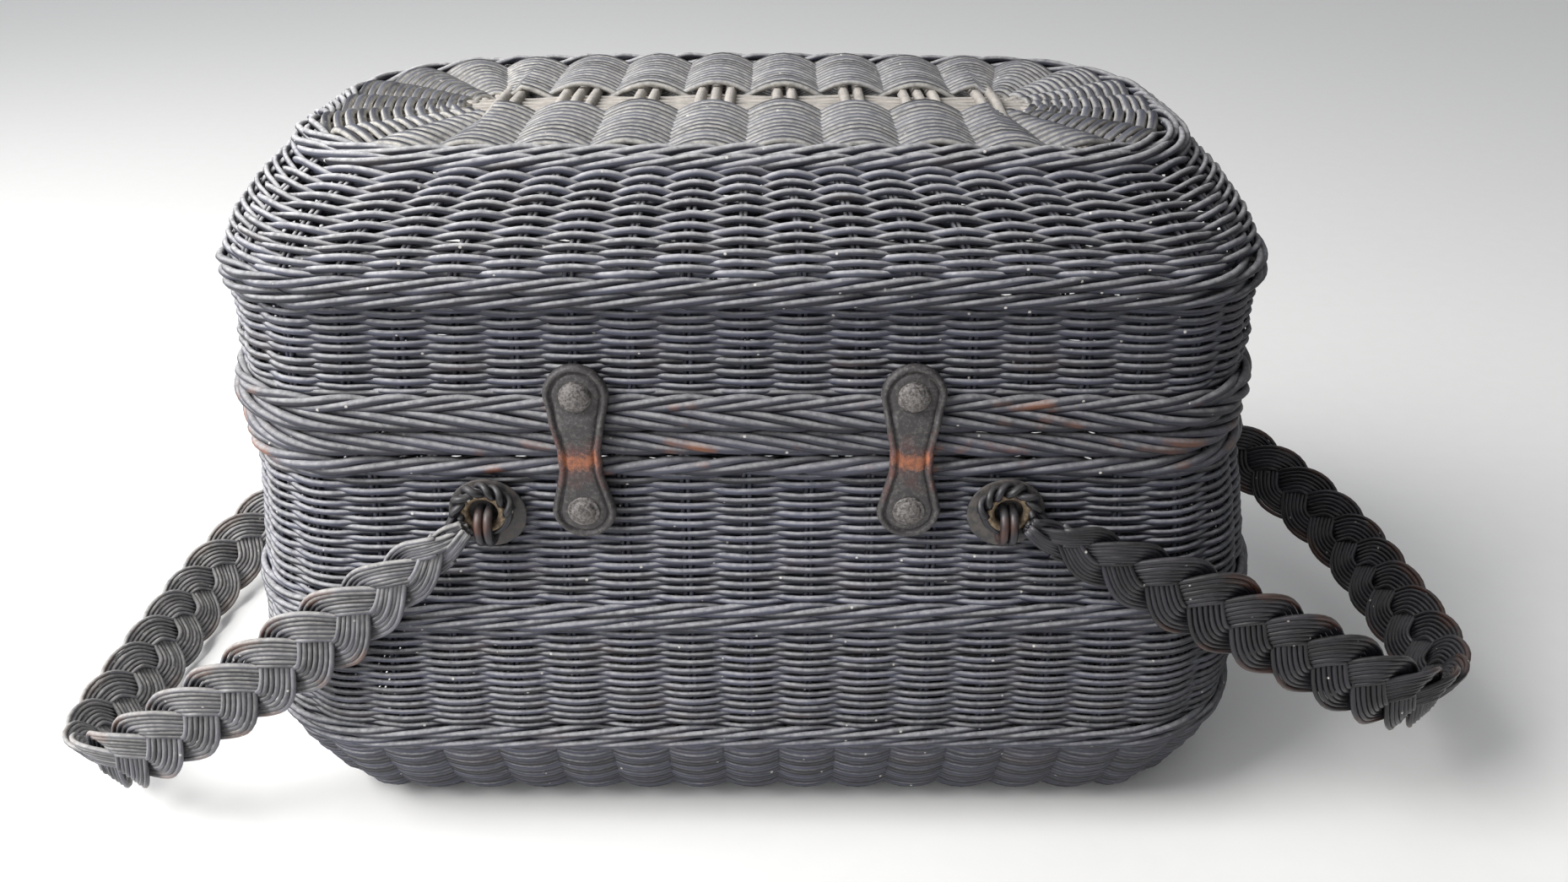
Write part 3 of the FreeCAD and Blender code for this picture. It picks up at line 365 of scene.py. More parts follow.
def randing(profile, rows, stakes, rod, swing, start, stop, samples=6, arch=0.0, sit=0.0, tidy=1.0,
            dip=1.2 * mm):
    # plain weave: each rod goes outside one stake and inside the next, the next row the other way
    turns = np.arange(stakes * samples) / (stakes * samples)
    drift = wobble(turns, (2, 3, 5), 0.0006 * tidy)
    drift2 = wobble(turns, (3, 4, 7), 0.0006 * tidy)
    rods = []
    for row in range(rows):
        along = start + (stop - start) * (row + 0.5) / rows
        loose = np.repeat(rng.normal(0, 0.0002 * tidy, stakes), samples)
        loose = (loose + np.roll(loose, samples // 2)) / 2
        share = row / max(rows - 1, 1)
        beat = np.cos(math.pi * (stakes * turns + row))
        shaped = np.sign(beat) * np.abs(beat) ** 0.8
        s = along + (drift * share + drift2 * (1 - share)) * math.sin(math.pi * share) + loose
        s = s + arch * np.maximum(beat, 0) ** 1.5 - dip * np.maximum(-beat, 0) ** 1.5  # the inner bows sit lower
        deep = swing * (1 + rng.normal(0, 0.08)) * shaped + sit
        z, bulge, corner = profile.at(s, deep)
        flat, _ = ringPoints(turns, bulge, corner)
        taper = 1 + 0.14 * (((turns * 1.3 + rng.random()) % 1.0) - 0.5)
        rods.append(dict(path=np.column_stack([flat, z]), closed=True,
                         radius=rod * taper * (1 + rng.normal(0, 0.05)), flat=1.25,
                         tone=rng.random(), rub=0.55 + 0.45 * rng.random()))
    return rods


def stakePairs(profile, stakes, rod, gap, start, stop, steps=14, sit=0.0):
    rods = []
    s = np.linspace(start, stop, steps)
    for k in range(stakes):
        for side in (-1, 1):
            z, bulge, corner = profile.at(s, sit)
            turn = np.full(steps, (k + side * gap) / stakes + rng.normal(0, 0.0002))
            flat, out = ringPoints(turn, bulge, corner)
            rods.append(dict(path=np.column_stack([flat, z]), radius=rod, tone=rng.random() * 0.7, rub=0.3,
                             up=np.column_stack([out, np.zeros(steps)])))
    return rods


def waling(height, bulge, corner=None, stakes=48, period=3, rod=1.5 * mm, reach=2.0 * mm, rise=2.0 * mm, lean=1,
           linger=0.35, samples=5, rubs=(0.5, 1.0)):
    # rods twined round the stakes, each over period / 2 or more of them; lean 1 climbs to the right outside
    turns = np.arange(stakes * samples) / (stakes * samples)
    bent = wobble(turns, (2, 3, 4), 0.0005)
    rods = []
    for k in range(period):
        phase = 2 * math.pi * (stakes * turns + k) / period
        angle = phase - linger * np.sin(phase)
        uneven = 1 + wobble(turns, (7, 11, 17), 0.12)
        z = height + lean * rise * np.sin(angle) * uneven + bent
        flat, _ = ringPoints(turns, bulge + reach * np.cos(angle) * uneven, corner)
        rubbed = rubs[0] + (rubs[1] - rubs[0]) * (0.5 + 0.5 * np.cos(angle)) * (0.8 + 0.2 * rng.random())
        rods.append(dict(path=np.column_stack([flat, z]), radius=rod * (1 + wobble(turns, (9, 13, 21), 0.12)),
                         closed=True, tone=rng.random() * 0.8, rub=rubbed))
    return rods


def waleRows(rows, **settings):
    return [rod for row in rows for rod in waling(*row, **settings)]


print("body weave")

body = dict(stakes=48, rod=1.04 * mm, swing=1.85 * mm, stakeRod=1.1 * mm, stakeGap=0.042, sit=-1.4 * mm,
            upperRows=28, upper=(0.1295, 0.1885), lowerRows=26, lower=(0.0635, 0.1185),
            footRows=38, foot=(0.0045, 0.0535), footRod=1.15 * mm, footSwing=2.9 * mm, footSit=-2.2 * mm)

bodyLevels = [(3.0, -21, 29), (5.5, -17.5, 32.5), (11, -11, 39), (20, -5.2, 44.8), (30, -1.0, 49),
              (40, 3.2, 53.2), (52, 6.8, 56.8), (64, 7.9, 57.9), (98, 9.8, 59.8), (125, 7.6, 57.6),
              (150, 4.4, 54.4), (173, 1.3, 51.3), (188, 0.2, 50.2), (200, 0.0, 50.0)]
bodyProfile = Profile(bodyLevels)

# how the old basket has settled: each end pushed out or in, by height, so it isn't quite even
settling = dict(heights=[0.0, 0.05, 0.09, 0.13, 0.165, 0.205, 0.235, 0.265, 0.29, 0.31],
                right=[4.0, 7.5, 6.5, 4.5, 1.5, -5.5, -0.5, -3.5, -5.5, -6.0],
                left=[5.0, 8.0, 5.0, 1.0, 0.0, -1.0, 2.0, -1.0, 0.0, 0.0])


def uneven(rods):
    for rod in rods:
        path = np.array(rod["path"], float)
        right, left = (np.interp(path[:, 2], settling["heights"], settling[end]) * mm for end in ("right", "left"))
        ends = np.clip(np.abs(path[:, 0]) / 0.205, 0, 1) ** 2
        path[:, 0] += np.where(path[:, 0] > 0, right, -left) * ends
        rod["path"] = path
    return rods


def alongOf(profile, height):
    return float(np.interp(height, profile.z, profile.s))


def between(profile, heights):
    start, stop = (alongOf(profile, height) for height in heights)
    return dict(start=start, stop=stop)


upper = randing(bodyProfile, body["upperRows"], body["stakes"], body["rod"], body["swing"], sit=body["sit"],
                **between(bodyProfile, body["upper"]))
lower = randing(bodyProfile, body["lowerRows"], body["stakes"], body["rod"], body["swing"], sit=body["sit"],
                **between(bodyProfile, body["lower"]))
humps = randing(bodyProfile, body["footRows"], body["stakes"], body["footRod"], body["footSwing"],
                sit=body["footSit"], tidy=0.4, dip=0.0, **between(bodyProfile, body["foot"]))
stakes = stakePairs(bodyProfile, body["stakes"], body["stakeRod"], body["stakeGap"], 0.001,
                    alongOf(bodyProfile, 0.199), sit=body["sit"])

for rods in (upper, lower, humps, stakes):
    uneven(rods)

bodyPieces = [
    (rodBundle("bodyUpperWeave", upper, wicker["dyedWillowWeave"]), ["body_wall"]),
    (rodBundle("bodyLowerWeave", lower, wicker["dyedWillowWeave"]), ["body_wall"]),
    (rodBundle("bodyFootHumps", humps, wicker["dyedWillowWeave"]), ["body_wall"]),
    (rodBundle("bodyStakes", stakes, wicker["dustyWillowTop"]), ["body_wall"]),
]

# wales and borders of the body: each row's height and bulge, then how its rods are twined
bodyWales = {
    "upsett": dict(rows=[(0.0610, 0.0078), (0.0553, 0.0072)], rod=1.45 * mm),
    "mid": dict(rows=[(0.1270, 0.0074), (0.1211, 0.0080)], reach=1.9 * mm, rise=2.1 * mm, rubs=(0.3, 0.8)),
    "rim": dict(rows=[(0.1925, 0.0006)], rod=1.85 * mm, rise=2.5 * mm),
    "border": dict(rows=[(0.2022, 0.0002)], stakes=60, period=5, rod=1.75 * mm, reach=2.7 * mm, rise=3.3 * mm,
                   lean=-1, linger=0.1, rubs=(0.4, 1.0)),
    "borderCore": dict(rows=[(0.2010, -0.0010)], stakes=60, rod=1.6 * mm, reach=1.4 * mm, rise=1.6 * mm, lean=-1),
    "foot": dict(rows=[(0.0029, -0.0238)], stakes=64, rod=1.35 * mm, reach=1.3 * mm, rise=1.4 * mm, lean=-1,
                 linger=0.0),
}
upsett, midWale, rimWale, bodyBorder, borderCore, footTwist = (waleRows(**wale) for wale in bodyWales.values())


def shadePacking(heights, bulge, rod):
    # painted shade: plain dark rods laid inside, behind the gaps between two bands, standing in for the shade
    # there
    turns = np.arange(240) / 240
    flat, _ = ringPoints(turns, np.full(240, bulge))
    return [dict(path=np.column_stack([flat, np.full(240, height)]), radius=rod, closed=True, tone=0.1, rub=0.2)
            for height in heights]


bodyBorder += borderCore + shadePacking((0.1893, 0.1973), -0.0022, 1.7 * mm)

for rods in (upsett, midWale, rimWale, bodyBorder, footTwist):
    uneven(rods)

bodyPieces += [
    (rodBundle("upsettWale", upsett, wicker["dyedWillowWeave"]), ["upsett_band"]),
    (rodBundle("midWale", midWale, wicker["dyedWillowWeave"]), ["mid_band"]),
    (rodBundle("rimWale", rimWale, wicker["rubbedWillowWale"]), ["body_rim_wale"]),
    (rodBundle("bodyBorder", bodyBorder, wicker["rubbedWillowWale"]), ["body_border"]),
    (rodBundle("footCord", footTwist, wicker["dyedWillowWeave"]), ["foot_cord"]),
]


print("top and bottom plates")

lidTop = dict(groups=(2, 3, 2, 3, 2, 2, 3, 2), pitch=29.6 * mm, fans=7, rows=24, rod=1.8 * mm, swing=4.9 * mm,
              inner=(0.122, 0.0145, 0.0145), outer=(0.1725, 0.0745, 0.0540), height=0.3040, crown=0.0008,
              spineRods=9, spineWidth=24 * mm, spineHalf=0.122, spineRod=1.25 * mm, stickRod=2.55 * mm,
              stickPitch=6.4 * mm, fanRod=1.15 * mm, reach=0.064)
floorPlate = dict(lidTop, rows=26, rod=1.5 * mm, swing=1.9 * mm, inner=(0.124, 0.0150, 0.0150),
                  outer=(0.1905, 0.0925, 0.0330), height=0.0080, crown=0.0, reach=0.074)


def plateRing(place, hx, hy, r, settings):
    # place counts sticks: 8 across the front, a fan at the right end, 8 across the back, a fan at the left
    x0 = 3.5 * settings["pitch"]
    fan = settings["fans"] + 1
    total = 14 + 2 * fan
    a, q, b = hx - r - x0, math.pi / 2 * r, 2 * (hy - r)
    end = 2 * a + 2 * q + b
    cuts = np.array([0, a, a + q, a + q + b, a + 2 * q + b, end]) / end * fan
    knots = np.concatenate([[0], 7 + cuts, 14 + fan + cuts])
    xs = [-x0, x0, hx - r, hx - r, hx - r, hx - r, x0, -x0, r - hx, r - hx, r - hx, r - hx, -x0]
    ys = [-1, -1, -1, -1, 1, 1, 1, 1, 1, 1, -1, -1, -1]
    angles = [-90, -90, -90, 0, 0, 90, 90, 90, 90, 180, 180, 270, 270]
    p = place % total
    angle = np.radians(np.interp(p, knots, angles))
    cx, cy = np.interp(p, knots, xs), np.interp(p, knots, ys) * (hy - r)
    gap = np.where((p < 7) | ((p > 7 + fan) & (p < 14 + fan)), settings["pitch"], end / fan)
    return np.column_stack([cx + r * np.cos(angle), cy + r * np.sin(angle)]), gap


def plateWeave(settings, side, samples=8):
    fan = settings["fans"] + 1
    total = 14 + 2 * fan
    place = np.arange(total * samples) / samples
    inner, outer = np.array(settings["inner"]), np.array(settings["outer"])
    rods = []
    for row in range(settings["rows"]):
        share = (row + 0.5) / settings["rows"]
        flat, gap = plateRing(place, *(inner + (outer - inner) * share), settings)
        beat = np.cos(math.pi * (place + row))
        shaped = np.sign(beat) * np.abs(beat) ** 0.95
        swing = settings["swing"] * np.clip(gap / 0.026, 0.3, 1.0)
        crown = settings["crown"] * math.cos(math.pi / 2 * share)
        z = settings["height"] + crown + side * swing * shaped + rng.normal(0, 0.0001)
        dark = row < 1
        rods.append(dict(path=np.column_stack([flat, z]), closed=True, flat=0.8,
                         radius=settings["rod"] * (1 + rng.normal(0, 0.05)),
                         tone=0.0 if dark else 0.15 + 0.85 * rng.random(), rub=0.4 + 0.4 * rng.random()))
    return rods


def plateSticks(settings, side):
    inner, outer = np.array(settings["inner"]), np.array(settings["outer"])
    crossing, spine, fans = [], [], []
    for k, count in enumerate(settings["groups"]):
        for j in range(count):
            x = (k - 3.5) * settings["pitch"] + (j - (count - 1) / 2) * settings["stickPitch"]
            y = np.linspace(-settings["reach"], settings["reach"], 23)
            bow = 0.9 * mm * np.exp(-(y / 0.016) ** 2)
            z = settings["height"] + 0.9 * mm + side * bow
            crossing.append(dict(path=np.column_stack([x + 0 * y + wobble(y * 9, (1, 2), 0.0003), y, z]),
                                 radius=settings["stickRod"] * (0.92 + 0.08 * np.cos(y * 30)), up=(0, 0, 1),
                                 tone=rng.random(), rub=0.2))
    for k in range(settings["spineRods"]):
        y = (k / (settings["spineRods"] - 1) - 0.5) * (settings["spineWidth"] - 2.6 * mm)
        x = np.linspace(-settings["spineHalf"], settings["spineHalf"], 60)
        weave = side * 0.5 * mm * np.cos(math.pi * (x / settings["pitch"] + 0.5 + k))
        spine.append(dict(path=np.column_stack([x, y + wobble(x * 5, (1, 2, 3), 0.0003),
                                                settings["height"] + 0.2 * mm + weave]),
                          radius=settings["spineRod"], tone=rng.random(), rub=0.2))
    fan = settings["fans"] + 1
    share = np.linspace(-0.06, 1.02, 12)
    for base in (7, 14 + fan):
        for k in range(1, fan):
            for nudge in (-0.05, 0.05):
                spots = []
                for t in share:
                    spoke = np.array([float(base + k + nudge)])
                    flat, _ = plateRing(spoke, *(inner + (outer - inner) * t), settings)
                    spots.append((flat[0, 0], flat[0, 1], settings["height"] + settings["crown"]))
                fans.append(dict(path=spots, radius=settings["fanRod"], tone=rng.random(), rub=0.2))
    return crossing, spine, fans


topWeave = plateWeave(lidTop, 1)
topCross, topSpine, topFans = plateSticks(lidTop, 1)
bottomWeave = plateWeave(floorPlate, -1)
bottomCross, bottomSpine, bottomFans = plateSticks(floorPlate, -1)
for rods in (bottomWeave, bottomCross, bottomSpine, bottomFans):
    uneven(rods)

bodyPieces += [
    (rodBundle("bottomWeave", bottomWeave, wicker["dyedWillowWeave"]), ["base_panel"]),
    (rodBundle("bottomSticks", bottomCross + bottomFans, wicker["greyWillowSticks"]), ["base_cross_sticks"]),
    (rodBundle("bottomSpine", bottomSpine, wicker["greyWillowSticks"]), ["base_spine"]),
]
for piece, nodes in bodyPieces:
    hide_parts(*nodes)
    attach(piece, "basket")


print("lid weave")

lid = dict(stakes=54, swing=1.85 * mm, stakeRod=1.0 * mm, stakeGap=0.05, sideRows=18, sideRod=1.0492 * mm,
           side=(0.2222, 0.2582), sideSit=-1.2 * mm, slopeRows=22, slopeRod=1.159 * mm, slopeSwing=2.1275 * mm,
           slope=(0.2695, 0.3025), slopeSit=-0.9 * mm, slopeStakeSit=-1.0 * mm, arch=0.6 * mm)

sideProfile = Profile([(216, -1.6, 48.4), (222.5, -2.8, 48.2), (240, -4.1, 48.6), (258, -2.8, 50.0),
                       (264, -2.4, 51.0)])
slopeProfile = Profile([(262, -2.8, 51.5), (270, -2.6, 52.5), (281, -6.9, 55), (292, -15.0, 57.5),
                        (301.5, -26.4, 59), (305.5, -31.8, 58.5)])

lidSide = randing(sideProfile, lid["sideRows"], lid["stakes"], lid["sideRod"], lid["swing"], sit=lid["sideSit"],
                  **between(sideProfile, lid["side"]))
lidSlope = randing(slopeProfile, lid["slopeRows"], lid["stakes"], lid["slopeRod"], lid["slopeSwing"], samples=8,
                   sit=lid["slopeSit"], arch=lid["arch"], **between(slopeProfile, lid["slope"]))
sideStakes = stakePairs(sideProfile, lid["stakes"], lid["stakeRod"], lid["stakeGap"], 0.001,
                        sideProfile.length - 0.001, 10, lid["sideSit"])
slopeStakes = stakePairs(slopeProfile, lid["stakes"], lid["stakeRod"], lid["stakeGap"], 0.001,
                         slopeProfile.length - 0.0005, 14, lid["slopeStakeSit"])

# wales and borders of the lid: each row's height, bulge and corner radius, then how its rods are twined
lidWales = {
    "lower": dict(rows=[(0.2192, -0.0002)], stakes=54, rod=1.65 * mm, reach=1.5 * mm, rise=2.3 * mm,
                  rubs=(0.4, 0.9)),
    "border": dict(rows=[(0.2126, 0.0006)], stakes=56, period=4, rod=1.75 * mm, reach=2.7 * mm, rise=3.2 * mm,
                   lean=-1, linger=0.2, rubs=(0.3, 0.9)),
    "borderCore": dict(rows=[(0.2130, -0.0012)], stakes=60, reach=1.3 * mm, rise=1.5 * mm, lean=-1),
    "band": dict(rows=[(0.2668, -0.0019, 0.0525), (0.2610, -0.0017, 0.0520)], stakes=54, rise=2.1 * mm),
    "topInner": dict(rows=[(0.3062, -0.0325, 0.0560)], stakes=54, rod=1.6 * mm, reach=2.2 * mm, rise=1.9 * mm),
    "topOuter": dict(rows=[(0.3040, -0.0278, 0.0590)], stakes=54, rod=1.55 * mm, reach=1.9 * mm),
}
lowerLidWale, lidBorder, lidCore, bandWale, topInner, topOuter = (waleRows(**wale) for wale in lidWales.values())
lidBorder += lidCore + shadePacking((0.2163, 0.2223), -0.0036, 1.6 * mm)
topWale = topInner + topOuter


def crowned(rods, fromHeight=0.285):
    # the top rises a little towards its middle, more at the back
    for rod in rods:
        path = np.array(rod["path"], float)
        share = np.clip((path[:, 2] - fromHeight) / (0.300 - fromHeight), 0, 1)
        rise = (2.6 + 22 * np.clip(path[:, 1], -0.06, 0.09)) * mm
        path[:, 2] += share * rise * np.cos(np.clip(path[:, 0] / 0.19, -1, 1) * math.pi / 2) ** 1.3
        rod["path"] = path
    return rods


for rods in (lidSlope, slopeStakes, topWale, topWeave, topCross, topFans, topSpine):
    crowned(rods)
for rods in (lidSide, lidSlope, sideStakes, slopeStakes, lowerLidWale, lidBorder, bandWale, topWale, topWeave,
             topCross, topFans, topSpine):
    uneven(rods)

lidPieces = [
    (rodBundle("lidSideWeave", lidSide, wicker["dyedWillowWeave"]), ["lid_side"]),
    (rodBundle("lidSlopeWeave", lidSlope, wicker["dustyWillowTop"]), ["lid_slope"]),
    (rodBundle("lidStakes", sideStakes + slopeStakes, wicker["dustyWillowTop"]), ["lid_side"]),
    (rodBundle("lidLowerWale", lowerLidWale, wicker["rubbedWillowWale"]), ["lid_lower_wale"]),
    (rodBundle("lidBorder", lidBorder, wicker["rubbedWillowWale"]), ["lid_border"]),
    (rodBundle("lidBandWale", bandWale, wicker["dyedWillowWeave"]), ["lid_band"]),
    (rodBundle("lidTopWale", topWale, wicker["dustyWillowTop"]), ["lid_rim"]),
    (rodBundle("lidTopWeave", topWeave, wicker["furrowedWillowPlate"]), ["lid_panel"]),
    (rodBundle("lidTopSticks", topCross + topFans, wicker["greyWillowSticks"]), ["lid_cross_sticks"]),
    (rodBundle("lidTopSpine", topSpine, wicker["greyWillowSticks"]), ["lid_spine"]),
]
for piece, nodes in lidPieces:
    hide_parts(*nodes)
    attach(piece, "lid")


print("straps and rivets")

strap = dict(x=0.064, lobe=12.6 * mm, waist=8.4 * mm, thick=2.2 * mm, low=0.176, high=0.2245, rim=0.9 * mm,
             rimWide=2.7 * mm, crease=1.3 * mm, waistAt=0.199)


def strapHalf(height):
    # straight sides draw in to the waist, then the round ends
    return np.interp(height, [strap["low"], strap["waistAt"] - 0.006, strap["waistAt"] + 0.004, strap["high"]],
                     [strap["lobe"], strap["waist"], strap["waist"], strap["lobe"]])


def strapInner(height, levels):
    z, y = zip(*levels)
    return np.interp(height, z, y)


def makeStrap(name, x, front, levels, bareAt):
    low, high = strap["low"], strap["high"]
    arcs = np.linspace(0, math.pi, 25)
    rise = np.linspace(low, high, 40)[1:-1]
    right = [(strapHalf(z), z) for z in rise]
    top = [(strap["lobe"] * math.cos(a), high + strap["lobe"] * math.sin(a)) for a in arcs]
    left = [(-strapHalf(z), z) for z in rise[::-1]]
    bottom = [(-strap["lobe"] * math.cos(a), low - strap["lobe"] * math.sin(a)) for a in arcs]
    rim = np.array(right + top + left + bottom)
    core = np.column_stack([np.zeros(len(rim)), np.clip(rim[:, 1], low, high)])
    full = np.linalg.norm(rim - core, axis=1)
    depths = np.array([0, 0.25, 0.7, 1.4, 2.1, 2.6, 3.0, 3.4, 4.2, 5.5, 7.0]) * mm
    loops = []
    for depth in depths:
        loops.append(("face", depth, core + (rim - core) * (1 - depth / full)[:, None]))
    backLoops = [("back", 0.0, rim), ("back", 0.004, core + (rim - core) * 0.3)]
    points, tones = [], []
    for kind, depth, flat in backLoops[::-1] + loops:
        if kind == "face":
            edge = min(depth / (0.9 * mm), 1)
            relief = strap["rim"] * math.sin(math.pi * min(depth / strap["rimWide"], 1)) ** 0.8
            relief -= strap["crease"] * math.exp(-((depth - 3.0 * mm) / (0.45 * mm)) ** 2)
            relief += 0.25 * mm * min(max(depth - 3.4 * mm, 0) / (3 * mm), 1)
            out = strap["thick"] * (0.72 + 0.28 * math.sqrt(edge)) + relief * 0.8 - 0.35 * mm * (1 - edge)
        else:
            out = 0.25 * mm if depth == 0 else 0.0
        inner = strapInner(flat[:, 1], levels)
        ripple = 0.0002 * np.sin(flat[:, 1] * 900 + x * 60) * np.sin(flat[:, 0] * 400 + x * 90)
        y = front * (inner + out + ripple)
        points.append(np.column_stack([x + flat[:, 0], y, flat[:, 1]]))
        tone = np.zeros((len(flat), 4))
        nearFold = np.exp(-((flat[:, 1] - bareAt) / 0.016) ** 2)
        tone[:, 0] = (0.45 + 0.75 * nearFold) * (1.0 if kind == "face" and 0.2 * mm < depth < 2.4 * mm else 0.8)
        ragged = bareAt + 0.0014 * np.sin(flat[:, 0] * 700 + x * 90) * np.sin(flat[:, 0] * 260 + x * 50)
        inside = kind == "face" and depth > 1.5 * mm
        tone[:, 1] = np.exp(-((flat[:, 1] - ragged) / 0.0058) ** 2) * (1.0 if inside else 0.72)
        tone[:, 3] = 1
        tones.append(tone)
    count, rings = len(rim), len(points)
    grid = np.arange(count * rings).reshape(rings, count)
    a, b = grid[:-1], grid[1:]
    quads = np.stack([a, np.roll(a, -1, 1), np.roll(b, -1, 1), b], -1).reshape(-1, 4)
    if front > 0:
        quads = quads[:, ::-1]
    faces = [q for q in quads]
    last = len(right)
    for ring, turn in ((grid[0], -1), (grid[-1], 1)):  # close the middle, left side to right side
        end = count - len(bottom) - 1
        closing = [ring[[i, i + 1, end - 1 - i, end - i]] for i in range(last - 1)]
        closing.append(ring[last - 1:last + len(top) + 1])
        closing.append(np.concatenate([ring[end:], ring[:1]]))
        faces += [face[::turn * int(-front)] for face in closing]
    flatUv = np.concatenate(points)[:, [0, 2]]
    uv = np.concatenate([flatUv[np.asarray(f)] for f in faces])
    return finishMesh(name, np.concatenate(points), faces, uv, np.concatenate(tones), leather)


def lathe(name, profile, centre, axis, material, sides=40, dents=0.0):
    # profile: (distance along the axis, radius) pairs, closed at both ends
    axis = np.asarray(axis, float)
    across = np.cross(axis, (0, 0, 1))
    upward = np.cross(across, axis)
    angles = np.arange(sides) * 2 * math.pi / sides
    points = []
    for along, radius in profile:
        rough = 1 + dents * rng.normal(0, 1, sides)
        points.append(np.asarray(centre) + axis * along + max(radius, 2e-5) * rough[:, None] *
                      (np.cos(angles)[:, None] * across + np.sin(angles)[:, None] * upward))
    rings = len(points)
    grid = np.arange(sides * rings).reshape(rings, sides)
    a, b = grid[:-1], grid[1:]
    quads = np.stack([a, b, np.roll(b, -1, 1), np.roll(a, -1, 1)], -1).reshape(-1, 4)
    faces = [q for q in quads] + [grid[0], grid[-1][::-1]]
    tones = np.tile([0.5, 0.5, 0, 1], (sides * rings, 1))
    return finishMesh(name, np.concatenate(points), faces, None, tones, material)


def domeProfile(radius, height, ringed):
    angles = np.linspace(0, math.pi / 2, 12)
    profile = [(-1.0 * mm, 1.6 * mm), (-1.0 * mm, radius * 0.9), (0.0, radius * 0.98), (0.35 * mm, radius)]
    if ringed:  # a flatter press-stud cap with a pressed ring
        step = 1.15 * mm
        profile += [(0.9 * mm, radius * 0.97), (step, radius * 0.9), (0.95 * mm, radius * 0.82),
                    (step, radius * 0.76)]
        profile += [(step + (height - step) * math.sin(a), radius * 0.74 * math.cos(a)) for a in angles]
    else:
        profile += [(0.7 * mm + (height - 0.7 * mm) * math.sin(a), radius * 0.97 * math.cos(a)) for a in angles]
    return profile


# how far out the wall behind each strap stands, by height
frontLevels = [(0.160, 0.1155), (0.205, 0.1155), (0.214, 0.1155), (0.219, 0.1128), (0.224, 0.1123),
               (0.231, 0.1123), (0.237, 0.1110)]
backLevels = [(0.160, 0.1126), (0.172, 0.1130), (0.186, 0.1138), (0.192, 0.1155), (0.214, 0.1155),
              (0.219, 0.1128), (0.224, 0.1123), (0.237, 0.1115)]
caps = dict(radius=6.4 * mm, high=4.0 * mm, flatter=3.0 * mm, dents=0.006)

for label, x in (("right", strap["x"]), ("left", -strap["x"])):
    flap = label + "_flap"
    front = makeStrap(label + "ClosingStrap", x, -1, frontLevels, 0.1985)
    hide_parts("strap_tabs", label + "_strap_flap")
    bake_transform(front)
    back = makeStrap(label + "HingeStrap", x, 1, backLevels, 0.2075)
    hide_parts("hinge_leaves_body", "hinge_leaves_lid")
    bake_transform(back)
    # rivets above, a press-stud cap below at the front: front or back, how far out, height, the body it rides
    for ending, way, out, height, node, rides in (
            ("StrapRivet", -1, 0.1143, strap["high"], "strap_rivets", "lid"),
            ("SnapCap", -1, 0.1176, strap["low"], label + "_snap_cap", flap),
            ("HingeRivetLid", 1, 0.1143, strap["high"], "hinge_rivets_lid", "lid"),
            ("HingeRivetBody", 1, 0.1152, strap["low"], "hinge_rivets_body", "basket")):
        ringed = ending == "SnapCap"
        dome = domeProfile(caps["radius"], caps["flatter" if ringed else "high"], ringed)
        cap = lathe(label + ending, dome, (x, way * out, height), (0, way, 0), capSteel, dents=caps["dents"])
        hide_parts(node)
        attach(cap, rides)


print("handle fittings")

fitting = dict(x=0.103, z=0.177, discZ=0.173, discOut=0.1137, plane=0.1198, ring=7.5 * mm, wire=1.9 * mm,
               stapleRod=1.85 * mm)

discShape = [(along * mm, radius * mm) for along, radius in (
    (0.0, 1.0), (0.0, 14.9), (0.35, 15.4), (0.9, 15.45), (1.2, 15.0), (1.15, 13.6), (1.5, 11.0), (1.9, 7.5),
    (2.1, 4.0), (2.15, 1.0))]
for side, label in ((1, "right"), (-1, "left")):
    for front, end in ((-1, "Front"), (1, "Back")):
        centre = (side * fitting["x"], front * fitting["discOut"], fitting["discZ"])
        disc = lathe(label + end + "Disc", discShape, centre, (0, front, 0), discTin, sides=56, dents=0.001)
        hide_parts("handle_discs")
        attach(disc, "basket")
        bow = np.linspace(-math.pi / 2, math.pi / 2, 15)
        legY = [0.1065, 0.1120, 0.1165] + list(0.1188 + 0.0062 * np.cos(bow)) + [0.1165, 0.1120, 0.1065]
        legZ = [0.1768] * 3 + list(0.16995 - 0.00685 * np.sin(bow)) + [0.1631] * 3
        canes = []
        for shift in (-fitting["stapleRod"], fitting["stapleRod"]):
            legX = np.full(len(legY), side * fitting["x"] + shift)
            path = np.column_stack([legX, front * np.array(legY), legZ])
            canes.append(dict(path=path, radius=fitting["stapleRod"], up=(1, 0, 0),
                              tone=0.3 + 0.3 * rng.random(), rub=1.1))
        staple = rodBundle(label + end + "Staple", canes, wicker["polishedCaneHandle"], sides=10)
        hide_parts("handle_staples")
        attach(staple, "basket")

for node, finish in (("staple_backs", discTin), ("snap_studs", capSteel)):
    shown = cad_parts[node]
    shown.data.materials.clear()
    shown.data.materials.append(finish)


print("plaited handles")

plait = dict(half=11.2 * mm, depth=2.2 * mm, cycle=66 * mm, cane=1.2 * mm, spacing=2.2 * mm, canes=7,
             step=2.6 * mm, offset=0.125, start=0.016, taper=0.075, ease=0.9)
# the neck: a bundle of strands round the ring, and two more lapped slantwise round its far side
wrapping = dict(strands=6, round=9.2 * mm, swell=1.0 * mm, strandRod=1.3 * mm, tail=11 * mm,
                laps=2, lapRound=10.4 * mm, lapSwell=1.7 * mm, lapRod=1.5 * mm, lapFrom=0.35, lapTo=3.75)
hoops = {
    "right": dict(side=1, reach=0.259, first=0.085, second=0.112, fall=28.0, bow=(2.5 * mm, -15.0 * mm)),
    "left": dict(side=-1, reach=0.272, first=0.078, second=0.088, fall=36.0, bow=(-4.0 * mm, -15.0 * mm)),
}


